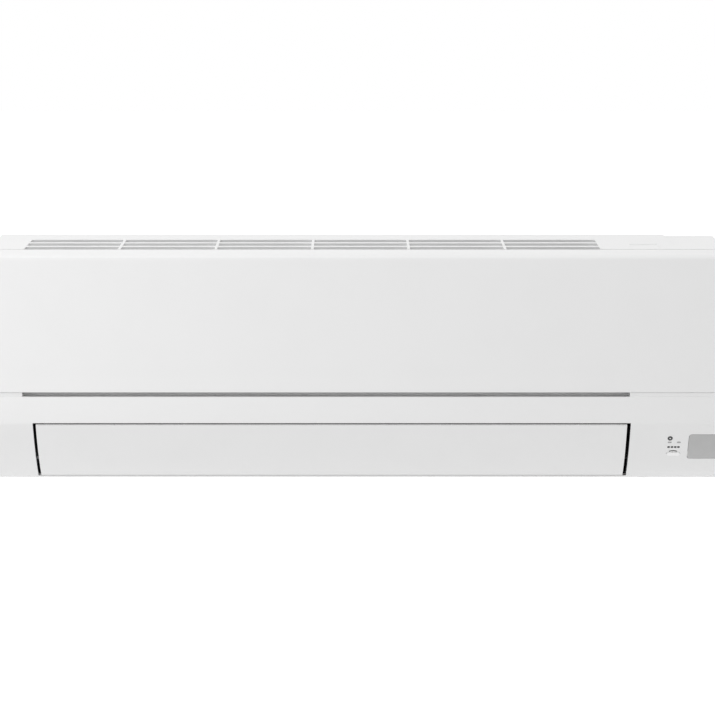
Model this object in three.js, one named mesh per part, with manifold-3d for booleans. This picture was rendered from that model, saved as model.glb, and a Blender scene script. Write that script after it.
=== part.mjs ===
// Wall-mounted indoor unit of a mini split air conditioner.
// Millimetres, +Z up. X runs along the unit, the front faces -Y and the wall is the plane Y = 0.
// Sections are drawn with two numbers: "out", the distance from the wall, and "up", the height
// above the underside. The whole unit is lowered by half its height, so that the origin is the
// middle of the installation plate's rear face.
import * as THREE from 'three';
import { mergeVertices } from 'three/addons/utils/BufferGeometryUtils.js';
import Module from 'manifold-3d';

const wasm = await Module();
wasm.setup();

// Casing
const unitWidth = 838;
const unitDepth = 228;
const unitHeight = 280;
const wall = 2.5;
const cornerRadius = 7;
const touchGap = 0.4;
const rimDepth = 13.6;

// Front panel and the seam under it
const panelDepth = 12.5;
const panelBottom = 123.5;
const panelWall = 2.8;
const panelLip = 47;
const seamGap = 0.35;
const seamRecess = 1.5;
const lipGap = 3.5;
const panelPivotDrop = 7;
const panelPivotInset = 4;
const panelArm = 3;
const panelPinRadius = 2;

// Finger groove under the panel. A margin is the distance from that end of the unit.
const grooveLeftMargin = 42.2;
const grooveRightMargin = 113;
const grooveHeight = 5.1;

// Top grille
const grilleLeftMargin = 40;
const grilleRightMargin = 142.5;
const grilleBays = 6;
const grilleSeparator = 3;
const grilleRows = 3;
const grilleSlot = 26;
const grilleRowPitch = 40;
const grilleRibDepth = 8;
const grilleRibThickness = 2;
const stepMargin = 58.5;
const stepDrop = 2.2;
const tabWidth = 32;
const tabDepth = 34;
const tabSink = 0.7;
const tabToStep = 17;
const tabToFront = 24;

// Air outlet and its flap
const vaneLeftMargin = 57;
const vaneRightMargin = 115.6;
const vaneTop = 85.8;
const vaneEndGapLeft = 3.5;
const vaneEndGapRight = 4.1;
const vaneTopGap = 2.6;
const vaneSetback = 1.4;
const lipSetback = 72;
const lipUp = 15.2;
const lipEdge = 2.4;
const slopeBulge = 4.8;
const vaneFoot = 5.2;
const vaneThickness = 6;
const vaneEdge = 2.4;
const vanePivotAlong = 21;
const vanePivotInset = 9.5;
const vaneLugThickness = 5;
const vaneLugRadius = 5.5;
const vanePinRadius = 2;
const pinClearance = 0.3;

// Fan, its housing and its drive
const fanRadius = 46;
const fanFrontSetback = 126;
const fanUp = 112;
const fanLeftInset = 6.9;
const fanRightInset = 44.6;
const endWallGap = 6;
const fanBlades = 24;
const fanBladeDepth = 11;
const fanBladeThickness = 1.6;
const fanDiscs = 2;
const fanDiscThickness = 2.4;
const fanTipGap = 7;
const scrollGrowth = 23;
const shaftRadius = 4;
const motorRadius = 41;
const motorLength = 46;
const motorGap = 9;
const motorRingRadius = 17;
const bearingRadius = 11;

// Heat exchanger and filters
const coilThickness = 24;
const coilOverrunLeft = 2;
const coilOverrunRight = 4;
const coilTubeRadius = 3.5;
const filterTopGap = 18;
const filterCentreUp = 112;
const filterThickness = 1.6;
const filterToCoil = 7;
const filterGap = 6;
const filterOverhang = 9;
const railThickness = 2.4;

// Louvres
const louvresPerSet = 5;
const louvreThickness = 1.6;
const louvreRear = 8;
const louvreFront = 26;
const louvrePivot = 15;
const louvreHeight = 34;
const louvrePinRadius = 1.8;
const tieAlong = 23;
const tieUp = 14;
const tieWidth = 4;
const tieHeight = 2.6;
const tiePinRadius = 1;

// Display corner
const windowMargin = 9;
const windowWidth = 35.7;
const windowTall = 43;
const windowAlong = 42.7;
const windowRadius = 4;
const buttonToWindow = 8.7;
const buttonLength = 14.7;
const buttonWidth = 5.6;
const buttonAlong = 49.5;
const buttonProud = 1;

// Electrical box
const boxMargin = 8;
const boxDepth = 95;
const boxSheet = 2;
const boxToFrame = 5.6;
const boxBottom = 104;
const boxTopGap = 28;
const boardThickness = 1.6;

// Installation plate and pipes
const plateHalfWidth = 260;
const plateBottom = 72;
const plateTopGap = 30;
const plateThickness = 1.2;
const hookPitch = 170;
const hookWidth = 22;
const gasPipeRadius = 4.8;
const liquidPipeRadius = 3.2;
const pipeLength = 182;

// Values worked out from the sizes above
const halfWidth = unitWidth / 2;
const centreOut = unitDepth - fanFrontSetback;
const lipOut = unitDepth - lipSetback;
const panelRear = unitDepth - panelDepth;
const frameFront = panelRear - touchGap;
const lipRear = unitDepth - panelLip;
const roofFront = lipRear - lipGap;
const rearSheet = 10;
const recessTop = 62;
const grooveLeft = grooveLeftMargin - halfWidth;
const grooveRight = halfWidth - grooveRightMargin;
const grilleLeft = grilleLeftMargin - halfWidth;
const grillePitch = (unitWidth - grilleLeftMargin - grilleRightMargin) / grilleBays;
const stepLeft = halfWidth - stepMargin;
const vaneLeft = vaneLeftMargin - halfWidth;
const vaneRight = halfWidth - vaneRightMargin;
const openLeft = vaneLeft - vaneEndGapLeft;
const openRight = vaneRight + vaneEndGapRight;
const fanLeft = vaneLeft + fanLeftInset;
const fanRight = vaneRight - fanRightInset;
const partitionLeft = fanLeft - endWallGap;
const partitionRight = fanRight + endWallGap;
const motorLeft = partitionRight + motorGap;
const motorRight = motorLeft + motorLength;
const coilLeft = partitionLeft - coilOverrunLeft;
const coilRight = partitionRight + coilOverrunRight;
const filterSplit = (coilLeft + coilRight) / 2;
const filterRadius = unitHeight - filterTopGap - filterCentreUp;
const filterOut = frameFront - wall - touchGap - filterRadius - filterThickness / 2;
const coilRadius = filterRadius - filterToCoil;
const windowLeft = halfWidth - windowMargin - windowWidth;
const buttonLeft = windowLeft - buttonToWindow - buttonLength;
const boxLeft = motorRight + 7;
const boxRight = halfWidth - boxMargin;
const boxFront = frameFront - wall - boxToFrame;
const boxRear = boxFront - boxDepth;
const boxTop = unitHeight - boxTopGap;
const pipeEnd = coilRight - pipeLength;
const plateTop = unitHeight - plateTopGap;

// How far a cutting tool reaches past the faces that it cuts, and how deep a joined piece sinks in.
const past = 5;
const sink = 0.5;

// ---------------------------------------------------------------- shapes and solids

const PLASTIC = { color: '#f1f1ee', roughness: 0.42, metalness: 0 };
const INNER = { color: '#dcdcd8', roughness: 0.55, metalness: 0 };
const DARK = { color: '#3c3f42', roughness: 0.6, metalness: 0 };
const STEEL = { color: '#b4b7ba', roughness: 0.35, metalness: 1 };
const ALUMINIUM = { color: '#c9ccce', roughness: 0.4, metalness: 1 };
const COPPER = { color: '#b8734a', roughness: 0.3, metalness: 1 };
const BRASS = { color: '#c6a256', roughness: 0.3, metalness: 1 };
const RUBBER = { color: '#2a2a2b', roughness: 0.85, metalness: 0 };
const LENS = { color: '#adb0b0', roughness: 0.25, metalness: 0 };
const BOARD = { color: '#2f6b46', roughness: 0.5, metalness: 0 };

const unit = new THREE.Group();
unit.position.z = -unitHeight / 2;

function solidOf(geometry) {
  const bare = geometry.clone();
  bare.deleteAttribute('normal');
  bare.deleteAttribute('uv');
  const merged = mergeVertices(bare, 1e-4);
  const vertProperties = Float32Array.from(merged.attributes.position.array);
  const triVerts = Uint32Array.from(merged.index.array);
  return new wasm.Manifold(new wasm.Mesh({ numProp: 3, vertProperties, triVerts }));
}

function geometryOf(solid) {
  const mesh = solid.getMesh();
  const geometry = new THREE.BufferGeometry();
  geometry.setAttribute('position', new THREE.BufferAttribute(mesh.vertProperties, 3));
  geometry.setIndex(new THREE.BufferAttribute(mesh.triVerts, 1));
  geometry.computeVertexNormals();
  return geometry;
}

function joined(first, ...others) {
  return others.reduce((sum, other) => sum.add(other), first);
}

function cut(body, ...tools) {
  return tools.reduce((rest, tool) => rest.subtract(tool), body);
}

function part(name, solid, finish) {
  const mesh = new THREE.Mesh(geometryOf(solid), new THREE.MeshStandardMaterial(finish));
  mesh.name = name;
  unit.add(mesh);
}

// Section axes: shape x is "out" (world -Y), shape y is "up" (world +Z), depth runs along -X.
const SECTION = new THREE.Matrix4().makeBasis(
  new THREE.Vector3(0, -1, 0),
  new THREE.Vector3(0, 0, 1),
  new THREE.Vector3(-1, 0, 0),
);

function prism(shape, left, right, curveSegments = 6) {
  const geometry = new THREE.ExtrudeGeometry(shape, {
    depth: right - left,
    bevelEnabled: false,
    curveSegments,
  });
  geometry.applyMatrix4(SECTION);
  geometry.translate(right, 0, 0);
  return solidOf(geometry);
}

function polygon(points) {
  return new THREE.Shape(points.map(([out, up]) => new THREE.Vector2(out, up)));
}

function block(left, right, outFrom, outTo, upFrom, upTo) {
  const geometry = new THREE.BoxGeometry(right - left, outTo - outFrom, upTo - upFrom);
  geometry.translate((left + right) / 2, -(outFrom + outTo) / 2, (upFrom + upTo) / 2);
  return solidOf(geometry);
}

// A round bar along X.
function rod(left, right, out, up, radius, sides = 16) {
  const geometry = new THREE.CylinderGeometry(radius, radius, right - left, sides);
  geometry.rotateZ(Math.PI / 2);
  geometry.translate((left + right) / 2, -out, up);
  return solidOf(geometry);
}

// A round bar along any direction, from one point to another.
function bar(from, to, radius, sides = 8) {
  const axis = to.clone().sub(from);
  const geometry = new THREE.CylinderGeometry(radius, radius, axis.length(), sides);
  const turn = new THREE.Quaternion().setFromUnitVectors(new THREE.Vector3(0, 1, 0), axis.clone().normalize());
  geometry.applyQuaternion(turn);
  geometry.translate(...from.clone().add(to).multiplyScalar(0.5).toArray());
  return solidOf(geometry);
}

function place(x, out, up) {
  return new THREE.Vector3(x, -out, up);
}

function roundedRectangle(x, y, width, height, radius) {
  const shape = new THREE.Shape();
  shape.moveTo(x + radius, y);
  shape.lineTo(x + width - radius, y);
  shape.absarc(x + width - radius, y + radius, radius, -Math.PI / 2, 0);
  shape.lineTo(x + width, y + height - radius);
  shape.absarc(x + width - radius, y + height - radius, radius, 0, Math.PI / 2);
  shape.lineTo(x + radius, y + height);
  shape.absarc(x + radius, y + height - radius, radius, Math.PI / 2, Math.PI);
  shape.lineTo(x, y + radius);
  shape.absarc(x + radius, y + radius, radius, Math.PI, Math.PI * 1.5);
  return shape;
}

// A band between two circles about a centre, from one angle to another, in degrees above "out".
function band(out, up, inner, outer, from, to) {
  const start = THREE.MathUtils.degToRad(from);
  const end = THREE.MathUtils.degToRad(to);
  const shape = new THREE.Shape();
  shape.absarc(out, up, outer, start, end, false);
  shape.absarc(out, up, inner, end, start, true);
  return shape;
}

function polar(out, up, radius, degrees) {
  const angle = THREE.MathUtils.degToRad(degrees);
  return [out + radius * Math.cos(angle), up + radius * Math.sin(angle)];
}

// ---------------------------------------------------------------- the outlet slope

// The flap and the display corner share one sloped face, from the lower lip to the strip.
const slopeFoot = new THREE.Vector2(lipOut, lipUp);
const slopeHead = new THREE.Vector2(unitDepth - vaneSetback, vaneTop);
const slopeAlong = slopeHead.clone().sub(slopeFoot).normalize();
const slopeOutward = new THREE.Vector2(slopeAlong.y, -slopeAlong.x);
const slopeLength = slopeHead.distanceTo(slopeFoot);

// Point of the section that lies "along" the slope from its foot and "proud" of its chord.
function onSlope(along, proud) {
  const out = slopeFoot.x + slopeAlong.x * along + slopeOutward.x * proud;
  const up = slopeFoot.y + slopeAlong.y * along + slopeOutward.y * proud;
  return new THREE.Vector2(out, up);
}

// Height of the curved face over its chord at a place along the slope.
function bulgeAt(along) {
  const t = along / slopeLength;
  return 4 * slopeBulge * t * (1 - t);
}

// Puts geometry drawn as (x, along, proud) onto the slope.
function laidOnSlope(geometry) {
  const basis = new THREE.Matrix4().makeBasis(
    new THREE.Vector3(1, 0, 0),
    new THREE.Vector3(0, -slopeAlong.x, slopeAlong.y),
    new THREE.Vector3(0, -slopeOutward.x, slopeOutward.y),
  );
  geometry.applyMatrix4(basis);
  geometry.translate(0, -slopeFoot.x, slopeFoot.y);
  return solidOf(geometry);
}

function slopePad(shape, proudFrom, proudTo) {
  const geometry = new THREE.ExtrudeGeometry(shape, {
    depth: proudTo - proudFrom,
    bevelEnabled: false,
    curveSegments: 4,
  });
  geometry.translate(0, 0, proudFrom);
  return laidOnSlope(geometry);
}

// ---------------------------------------------------------------- casing

const screwMargin = 89;
const screwX = halfWidth - screwMargin;
const screwBack = 26;
const screwRadius = 2;
const screwHead = 3.6;
const screwUp = lipUp + 1;

// Upright cylinders at the two places where screws hold the casing from below.
function screwCups(radius, low, high) {
  return [-1, 1].map((side) => bar(place(side * screwX, lipOut - screwBack, low),
    place(side * screwX, lipOut - screwBack, high), radius, 10));
}

// The underside ends a little below the lip, and the panel's top edge a little below the roof.
const undersideDrop = 2.5;
const panelTopDrop = 1.5;

// Outline of the unit's section, drawn in by an inset.
function casingOutline(inset) {
  const front = unitDepth - inset;
  const top = unitHeight - inset;
  const radius = cornerRadius - inset / 2;
  const foot = onSlope(inset, -inset);
  const head = onSlope(slopeLength, -inset);
  const crown = onSlope(slopeLength / 2, 2 * slopeBulge - inset);
  const shape = new THREE.Shape();
  shape.moveTo(inset, inset + radius);
  shape.quadraticCurveTo(inset, inset, inset + radius, inset);
  shape.lineTo(lipOut - 2 * cornerRadius, lipUp - undersideDrop + inset);
  shape.lineTo(foot.x, foot.y);
  shape.quadraticCurveTo(crown.x, crown.y, head.x, head.y);
  shape.lineTo(front, vaneTop + cornerRadius);
  shape.lineTo(front, top - panelTopDrop - cornerRadius);
  shape.quadraticCurveTo(front, top - panelTopDrop, front - cornerRadius, top - panelTopDrop);
  shape.lineTo(lipRear, top);
  shape.lineTo(inset + radius, top);
  shape.quadraticCurveTo(inset, top, inset, top - radius);
  return shape;
}

// The outer body with its front upright edges rounded in plan.
function outerBody(inset) {
  const side = halfWidth - inset;
  const body = prism(casingOutline(inset), -side, side, 5);
  const plan = new THREE.Shape();
  plan.moveTo(-side, 1);
  plan.lineTo(-side, -unitDepth + inset + cornerRadius);
  plan.quadraticCurveTo(-side, -unitDepth + inset, -side + cornerRadius, -unitDepth + inset);
  plan.lineTo(side - cornerRadius, -unitDepth + inset);
  plan.quadraticCurveTo(side, -unitDepth + inset, side, -unitDepth + inset + cornerRadius);
  plan.lineTo(side, 1);
  const column = new THREE.ExtrudeGeometry(plan, {
    depth: unitHeight + 2,
    bevelEnabled: false,
    curveSegments: 3,
  });
  column.translate(0, 0, -1);
  return body.intersect(solidOf(column));
}

const wholeBody = outerBody(0);
const innerBody = outerBody(wall);

// Space that belongs to the front panel: its face, and the lip that it turns back over the top.
function panelZone(gap) {
  const far = halfWidth + past;
  const high = unitHeight + past;
  const face = block(-far, far, panelRear - gap, unitDepth + past, panelBottom - gap, high);
  const lip = block(-far, far, lipRear - gap, unitDepth + past, unitHeight - panelWall - gap, high);
  return face.add(lip);
}

function panelHinge() {
  return { out: lipRear + panelPivotInset, up: unitHeight - panelPivotDrop };
}

const panelArmMargin = 8;
const panelArmSide = halfWidth - wall - panelArmMargin;
const panelPinLength = 5;

// Room that the lip's rear edge needs below the roof while the panel opens.
function lipSweep() {
  const hinge = panelHinge();
  const openTo = 78;
  const shutAt = 205;
  const reach = Math.hypot(panelPivotInset, panelPivotDrop) + touchGap;
  const under = panelPivotDrop - panelWall - 0.3;
  const far = halfWidth + past;
  return prism(band(hinge.out, hinge.up, under, reach, openTo, shutAt), -far, far, 5);
}

function frontPanel() {
  const skin = cut(wholeBody.intersect(panelZone(0)), outerBody(panelWall));
  const hinge = panelHinge();
  const parts = [skin];
  const eye = 2 * panelPinRadius;
  const armReach = 22;
  const armRoot = unitHeight - panelWall + 0.6;
  for (const side of [-1, 1]) {
    const near = side * panelArmSide;
    const far = side * (panelArmSide - panelArm);
    const left = Math.min(near, far);
    const arm = polygon([
      [hinge.out - eye, hinge.up - eye],
      [hinge.out + eye, hinge.up - eye],
      [hinge.out + armReach, armRoot],
      [hinge.out - eye / 2, armRoot],
      [hinge.out - eye, hinge.up + eye - 1],
    ]);
    parts.push(prism(arm, left, left + panelArm));
    const tip = side * (panelArmSide + panelPinLength);
    parts.push(rod(Math.min(near, tip) - sink, Math.max(near, tip), hinge.out, hinge.up, panelPinRadius, 12));
  }
  const middle = (panelBottom + unitHeight) / 2;
  const ribSide = halfWidth - 30;
  const rib = block(-ribSide, ribSide, panelRear + 1, unitDepth - 1, middle - 1, middle + 1);
  return joined(...parts, rib);
}

// The first row is open to the gap in front of the roof.
const grilleOverlap = 2;

function grilleRowRear(row) {
  return roofFront - row * grilleRowPitch - grilleSlot;
}

function grilleSlots() {
  const slots = [];
  for (let row = 0; row < grilleRows; row += 1) {
    const front = roofFront - row * grilleRowPitch + grilleOverlap;
    for (let bay = 0; bay < grilleBays; bay += 1) {
      const left = grilleLeft + bay * grillePitch + grilleSeparator / 2;
      const right = left + grillePitch - grilleSeparator;
      slots.push(block(left, right, grilleRowRear(row), front, unitHeight - wall - 1, unitHeight + 1));
    }
  }
  return slots;
}

// Ribs under the roof: one along each separator, and one behind each row of slots.
function grilleRibs() {
  const low = unitHeight - grilleRibDepth;
  const high = unitHeight - 0.8;
  const rear = grilleRowRear(grilleRows - 1) - grilleRibThickness;
  const right = grilleLeft + grilleBays * grillePitch;
  const ribs = [];
  for (let bay = 0; bay <= grilleBays; bay += 1) {
    const x = grilleLeft + bay * grillePitch;
    const half = grilleSeparator / 2;
    ribs.push(block(x - half, x + half, rear, roofFront, low, high));
  }
  for (let row = 0; row < grilleRows; row += 1) {
    const front = grilleRowRear(row);
    ribs.push(block(grilleLeft, right, front - grilleRibThickness, front, low, high));
  }
  return ribs;
}

const filterAngles = { bottom: -4, top: 74 };
const filterEdges = [
  coilLeft - filterOverhang,
  filterSplit - filterGap / 2,
  filterSplit + filterGap / 2,
  coilRight + filterOverhang + 1,
];

// The wall behind the panel, with a large opening in front of each filter.
function filterFrame() {
  const side = halfWidth - wall + sink;
  const bottom = panelBottom - seamGap - 7;
  const top = unitHeight - panelWall - 3;
  const sheet = block(-side, side, frameFront - wall, frameFront, bottom, top);
  const margin = 7;
  const low = panelBottom + 4;
  const high = unitHeight - 18;
  const rear = frameFront - wall - past;
  const leftHole = block(filterEdges[0] + margin, filterEdges[1] - margin, rear, frameFront + past, low, high);
  const rightHole = block(filterEdges[2] + margin, filterEdges[3] - margin, rear, frameFront + past, low, high);
  return cut(sheet, leftHole, rightHole);
}

// Curved rails that the filters' edges slide on.
function filterRails() {
  const inner = filterRadius + filterThickness / 2 + touchGap;
  const outer = inner + railThickness;
  const railEnd = 88;
  const railInset = 3;
  const half = 4;
  const rails = [];
  for (const x of [filterEdges[0] + railInset, filterSplit, filterEdges[3] - railInset]) {
    rails.push(prism(band(filterOut, filterCentreUp, inner, outer, 0, railEnd), x - half, x + half, 7));
  }
  return rails;
}

// Bosses inside the end walls that the panel's pins turn in.
function hingeBosses() {
  const hinge = panelHinge();
  const half = 7;
  const above = 4;
  return [-1, 1].map((side) => {
    const near = side * (panelArmSide + 0.6);
    const edge = side * (halfWidth - wall + sink);
    return block(Math.min(near, edge), Math.max(near, edge), hinge.out - half, hinge.out + half, hinge.up - half,
      hinge.up + above);
  });
}

function frontCasing() {
  const far = halfWidth + past;
  const front = unitDepth + past;
  const high = unitHeight + past;
  const rimCut = block(-far, far, -past, rimDepth + touchGap, -past, high);
  const lipCut = block(-far, far, lipRear - lipGap, panelRear, unitHeight - panelWall - 1, high);
  const shell = cut(wholeBody, innerBody, rimCut, panelZone(seamGap), lipCut);
  const grooveLow = panelBottom - grooveHeight;
  const ledge = block(-halfWidth + 1, halfWidth - 1, frameFront - wall, unitDepth - 1, grooveLow - wall,
    panelBottom - seamGap);
  const stepRear = roofFront - 34;
  const stepPad = block(stepLeft - 4, halfWidth - 1, rimDepth + touchGap, stepRear + 4,
    unitHeight - wall - stepDrop, unitHeight - wall + 1);
  const cups = screwCups(screwHead + 3, lipUp - 4, screwUp + wall);
  const solid = joined(shell, ledge.intersect(wholeBody), filterFrame(), stepPad, ...grilleRibs(), ...filterRails(),
    ...hingeBosses(), ...cups);
  const groove = block(grooveLeft, grooveRight, frameFront, front, grooveLow, panelBottom + 1);
  const recess = block(-far, far, unitDepth - seamRecess, front, grooveLow, panelBottom + 1);
  const outletDepth = 22;
  const outlet = block(openLeft, openRight, lipOut - outletDepth, front, lipUp + lipEdge, vaneTop + vaneTopGap);
  const step = block(stepLeft, far, -past, stepRear, unitHeight - stepDrop, high);
  const tabRight = stepLeft - tabToStep;
  const tabFront = roofFront - tabToFront;
  const tab = block(tabRight - tabWidth, tabRight, tabFront - tabDepth, tabFront, unitHeight - tabSink, high);
  const hinge = panelHinge();
  const pinEnd = halfWidth - wall - touchGap;
  const pinHoles = rod(-pinEnd, pinEnd, hinge.out, hinge.up, panelPinRadius + pinClearance, 12);
  const screwHoles = screwCups(screwHead + 1, -past, screwUp);
  const shankHoles = screwCups(screwRadius + pinClearance, -past, screwUp + 8);
  return cut(solid, groove, recess, outlet, step, tab, pinHoles, lipSweep(), windowHole(pinClearance),
    buttonHole(pinClearance), ...grilleSlots(), ...screwHoles, ...shankHoles);
}

// ---------------------------------------------------------------- display corner

// Depth and height of a hole through the slope, measured from its chord.
const holeDeep = -8;
const holeHigh = 12;

function windowHole(clearance) {
  const shape = roundedRectangle(windowLeft - clearance, windowAlong - clearance, windowWidth + 2 * clearance,
    windowTall + 2 * clearance, windowRadius);
  return slopePad(shape, holeDeep, holeHigh);
}

function buttonShape(clearance) {
  const width = buttonWidth + 2 * clearance;
  return roundedRectangle(buttonLeft - clearance, buttonAlong - clearance, buttonLength + 2 * clearance, width,
    width / 2 - 0.05);
}

function buttonHole(clearance) {
  return slopePad(buttonShape(clearance), holeDeep, holeHigh);
}

function receiverWindow() {
  return cut(wholeBody, innerBody).intersect(windowHole(0));
}

const boardProud = -9;
const boardFace = boardProud + boardThickness;
const buttonTravel = 1;
const buttonCap = 4.5;
const switchSide = 6;
const switchHeight = 1.2;
const receiverSide = 8;

function rectangle(x, y, width, height) {
  return new THREE.Shape([
    new THREE.Vector2(x, y),
    new THREE.Vector2(x + width, y),
    new THREE.Vector2(x + width, y + height),
    new THREE.Vector2(x, y + height),
  ]);
}

// The cap that shows, on a stem that ends just above its switch.
function emergencyButton() {
  const top = bulgeAt(buttonAlong + buttonWidth / 2) + buttonProud;
  const cap = slopePad(buttonShape(0), top - buttonCap, top);
  const middle = buttonLeft + buttonLength / 2;
  const half = 2;
  const inset = 0.8;
  const stem = slopePad(rectangle(middle - half, buttonAlong + inset, 2 * half, buttonWidth - 2 * inset),
    boardFace + switchHeight + buttonTravel + 0.2, top - buttonCap + sink);
  return cap.add(stem);
}

function displayBoard() {
  const left = buttonLeft - 6;
  const right = windowLeft + windowWidth;
  const board = slopePad(rectangle(left, windowAlong - 2, right - left, windowTall), boardProud, boardFace);
  const switchLeft = buttonLeft + (buttonLength - switchSide) / 2;
  const tactSwitch = slopePad(rectangle(switchLeft, buttonAlong - 0.7, switchSide, switchSide), boardFace - sink,
    boardFace + switchHeight);
  const receiver = slopePad(rectangle(windowLeft + 12, windowAlong + 15, receiverSide, receiverSide),
    boardFace - sink, boardProud + 6);
  return joined(board, tactSwitch, receiver);
}

// ---------------------------------------------------------------- base frame and fan housing

const scrollAngles = { start: 150, end: 277 };
const scrollSteps = 14;

// Inner face of the fan housing: a spiral that opens from the fan's tip gap to the outlet.
function scrollPoint(step, thickness) {
  const t = step / scrollSteps;
  const degrees = THREE.MathUtils.lerp(scrollAngles.start, scrollAngles.end, t);
  const radius = fanRadius + fanTipGap + scrollGrowth * t * t + thickness;
  return polar(centreOut, fanUp, radius, degrees);
}

function scrollShape() {
  const points = [];
  for (let step = 0; step <= scrollSteps; step += 1) {
    points.push(scrollPoint(step, 0));
  }
  for (let step = scrollSteps; step >= 0; step -= 1) {
    points.push(scrollPoint(step, wall));
  }
  return polygon(points);
}

// Upright end wall of the fan chamber, 2.5 mm thick, which follows the fan round to the air stream.
function partitionShape() {
  const overFan = fanRadius + past;
  const points = [
    [rearSheet + 1, recessTop],
    [rearSheet + 1, fanUp + 38],
    [centreOut - fanRadius - 8, fanUp + 40],
    polar(centreOut, fanUp, overFan, 128),
  ];
  for (let degrees = 110; degrees > 10; degrees -= 20) {
    points.push(polar(centreOut, fanUp, overFan, degrees));
  }
  points.push(polar(centreOut, fanUp, fanRadius + 3, 8));
  for (let step = scrollSteps; step >= 5; step -= 1) {
    points.push(scrollPoint(step, wall / 2));
  }
  return polygon(points);
}

// Ribs that stiffen the housing from behind.
function housingRibs() {
  const bays = 5;
  const lastStep = 7;
  const half = 1;
  const points = [[rearSheet + 1, recessTop], [rearSheet + 1, fanUp + 30]];
  for (let step = 1; step <= lastStep; step += 1) {
    points.push(scrollPoint(step, wall / 2));
  }
  const shape = polygon(points);
  const ribs = [];
  const pitch = (partitionRight - partitionLeft) / bays;
  for (let index = 1; index < bays; index += 1) {
    const x = partitionLeft + pitch * index;
    ribs.push(prism(shape, x - half, x + half));
  }
  return ribs;
}

function hookPlaces() {
  return [-hookPitch, 0, hookPitch];
}

const bossLength = 12;
const bearingLength = 8;

// Left boss that holds the fan's bearing.
function bearingBoss() {
  const left = partitionLeft - bossLength;
  const boss = rod(left, partitionLeft, centreOut, fanUp, bearingRadius + 4, 20);
  const bore = rod(left + 1, partitionLeft + past, centreOut, fanUp, bearingRadius + touchGap, 20);
  const shaftHole = rod(left - past, partitionLeft, centreOut, fanUp, shaftRadius + 1, 12);
  return { boss, bore, shaftHole };
}

// A floor strip and two posts close the recess in which the pipes run.
function pipeChannel() {
  const strip = block(-halfWidth + 1, halfWidth - 1, rearSheet, rearSheet + wall, 3, 8);
  const postWidth = 4;
  const posts = [-halfWidth + 20, halfWidth - 20 - postWidth].map((x) => block(x, x + postWidth, rearSheet,
    rearSheet + 2 * wall, 6, recessTop + 4));
  return joined(strip, ...posts);
}

// Windows in the rear sheet that the plate's hooks reach through.
function hookWindows() {
  const half = hookWidth / 2 + 2;
  return hookPlaces().map((x) => block(x - half, x + half, rearSheet - 1, rearSheet + wall + 1, plateTop - 9,
    plateTop + 5));
}

function baseFrame() {
  const far = halfWidth + past;
  const rimBlock = block(-far, far, 0, rimDepth, -past, unitHeight + past);
  const rim = cut(wholeBody.intersect(rimBlock), block(-halfWidth + wall, halfWidth - wall, -past, rimDepth + past,
    wall, unitHeight - wall - stepDrop));
  const sheet = block(-halfWidth + 1, halfWidth - 1, rearSheet, rearSheet + wall, recessTop, unitHeight - 2 - stepDrop);
  const scroll = prism(scrollShape(), partitionLeft - 1, partitionRight + 1);
  const endWalls = [partitionLeft, partitionRight].map((x) => prism(partitionShape(), x - wall / 2, x + wall / 2));
  const bearing = bearingBoss();
  const solid = joined(rim, sheet, scroll, ...endWalls, bearing.boss, motorCradle(), pipeChannel(), ...housingRibs());
  const step = block(stepLeft, far, -past, rimDepth + past, unitHeight - stepDrop, unitHeight + past);
  const motorHole = rod(partitionRight - past, partitionRight + past, centreOut, fanUp, motorRingRadius + 4, 20);
  return cut(solid, ...hookWindows(), bearing.bore, bearing.shaftHole, motorHole, step);
}

// ---------------------------------------------------------------- fan and drive

const mountWidth = 4;
const mountReach = motorRingRadius + 14;
const motorScrewOut = centreOut + motorRingRadius + 9;
const motorScrewRadius = 1.2;
const motorScrewHead = 3;
const trunnionLength = 6;
const trunnionRadius = motorRingRadius - 6;
const ringWidth = 5;

// The two saddles and the two straps stand at the same places along the unit.
function mountPlaces() {
  return [motorLeft - mountWidth - 1, motorRight + 1];
}

function motorScrewPlaces() {
  return mountPlaces().map((x) => x + mountWidth / 2);
}

// Lower half saddles that carry the motor's rubber rings, standing on the rear sheet.
function motorCradle() {
  const shape = polygon([
    [rearSheet + 1, recessTop],
    [rearSheet + 1, fanUp],
    [centreOut + mountReach, fanUp],
    [centreOut + mountReach, fanUp - 8],
    [centreOut, fanUp - motorRingRadius - 10],
  ]);
  const saddles = mountPlaces().map((x) => prism(shape, x, x + mountWidth));
  const seat = rod(motorLeft - trunnionLength, motorRight + trunnionLength, centreOut, fanUp,
    motorRingRadius + touchGap, 20);
  const screwBores = motorScrewPlaces().map((x) => bar(place(x, motorScrewOut, fanUp - 6),
    place(x, motorScrewOut, fanUp + past), motorScrewRadius, 8));
  return cut(joined(...saddles), seat, ...screwBores);
}

// Two straps over the rings, joined by a bridge in front of the motor.
function motorClamp() {
  const low = fanUp + touchGap;
  const high = low + mountWidth;
  const inner = motorRingRadius + touchGap;
  const outer = motorRingRadius + mountWidth;
  const shoulder = Math.asin(mountWidth / outer);
  const strap = new THREE.Shape();
  strap.moveTo(centreOut + mountReach, low);
  strap.lineTo(centreOut + mountReach, high);
  strap.absarc(centreOut, low, outer, shoulder, Math.PI - shoulder, false);
  strap.lineTo(centreOut - mountReach, high);
  strap.lineTo(centreOut - mountReach, low);
  strap.lineTo(centreOut - inner, low);
  strap.absarc(centreOut, low, inner, Math.PI, 0, true);
  const straps = mountPlaces().map((x) => prism(strap, x, x + mountWidth));
  const bridgeRear = centreOut + motorRadius + 2;
  const bridgeFront = bridgeRear + 3;
  const bridge = block(motorLeft - mountWidth, motorRight + mountWidth, bridgeRear, bridgeFront, low, high);
  const legs = mountPlaces().map((x) => block(x, x + mountWidth, centreOut + motorRingRadius + 8, bridgeFront,
    low, high));
  const bores = motorScrewPlaces().map((x) => bar(place(x, motorScrewOut, low - 2),
    place(x, motorScrewOut, high + past), motorScrewRadius + pinClearance, 8));
  return cut(joined(...straps, bridge, ...legs), ...bores);
}

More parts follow.
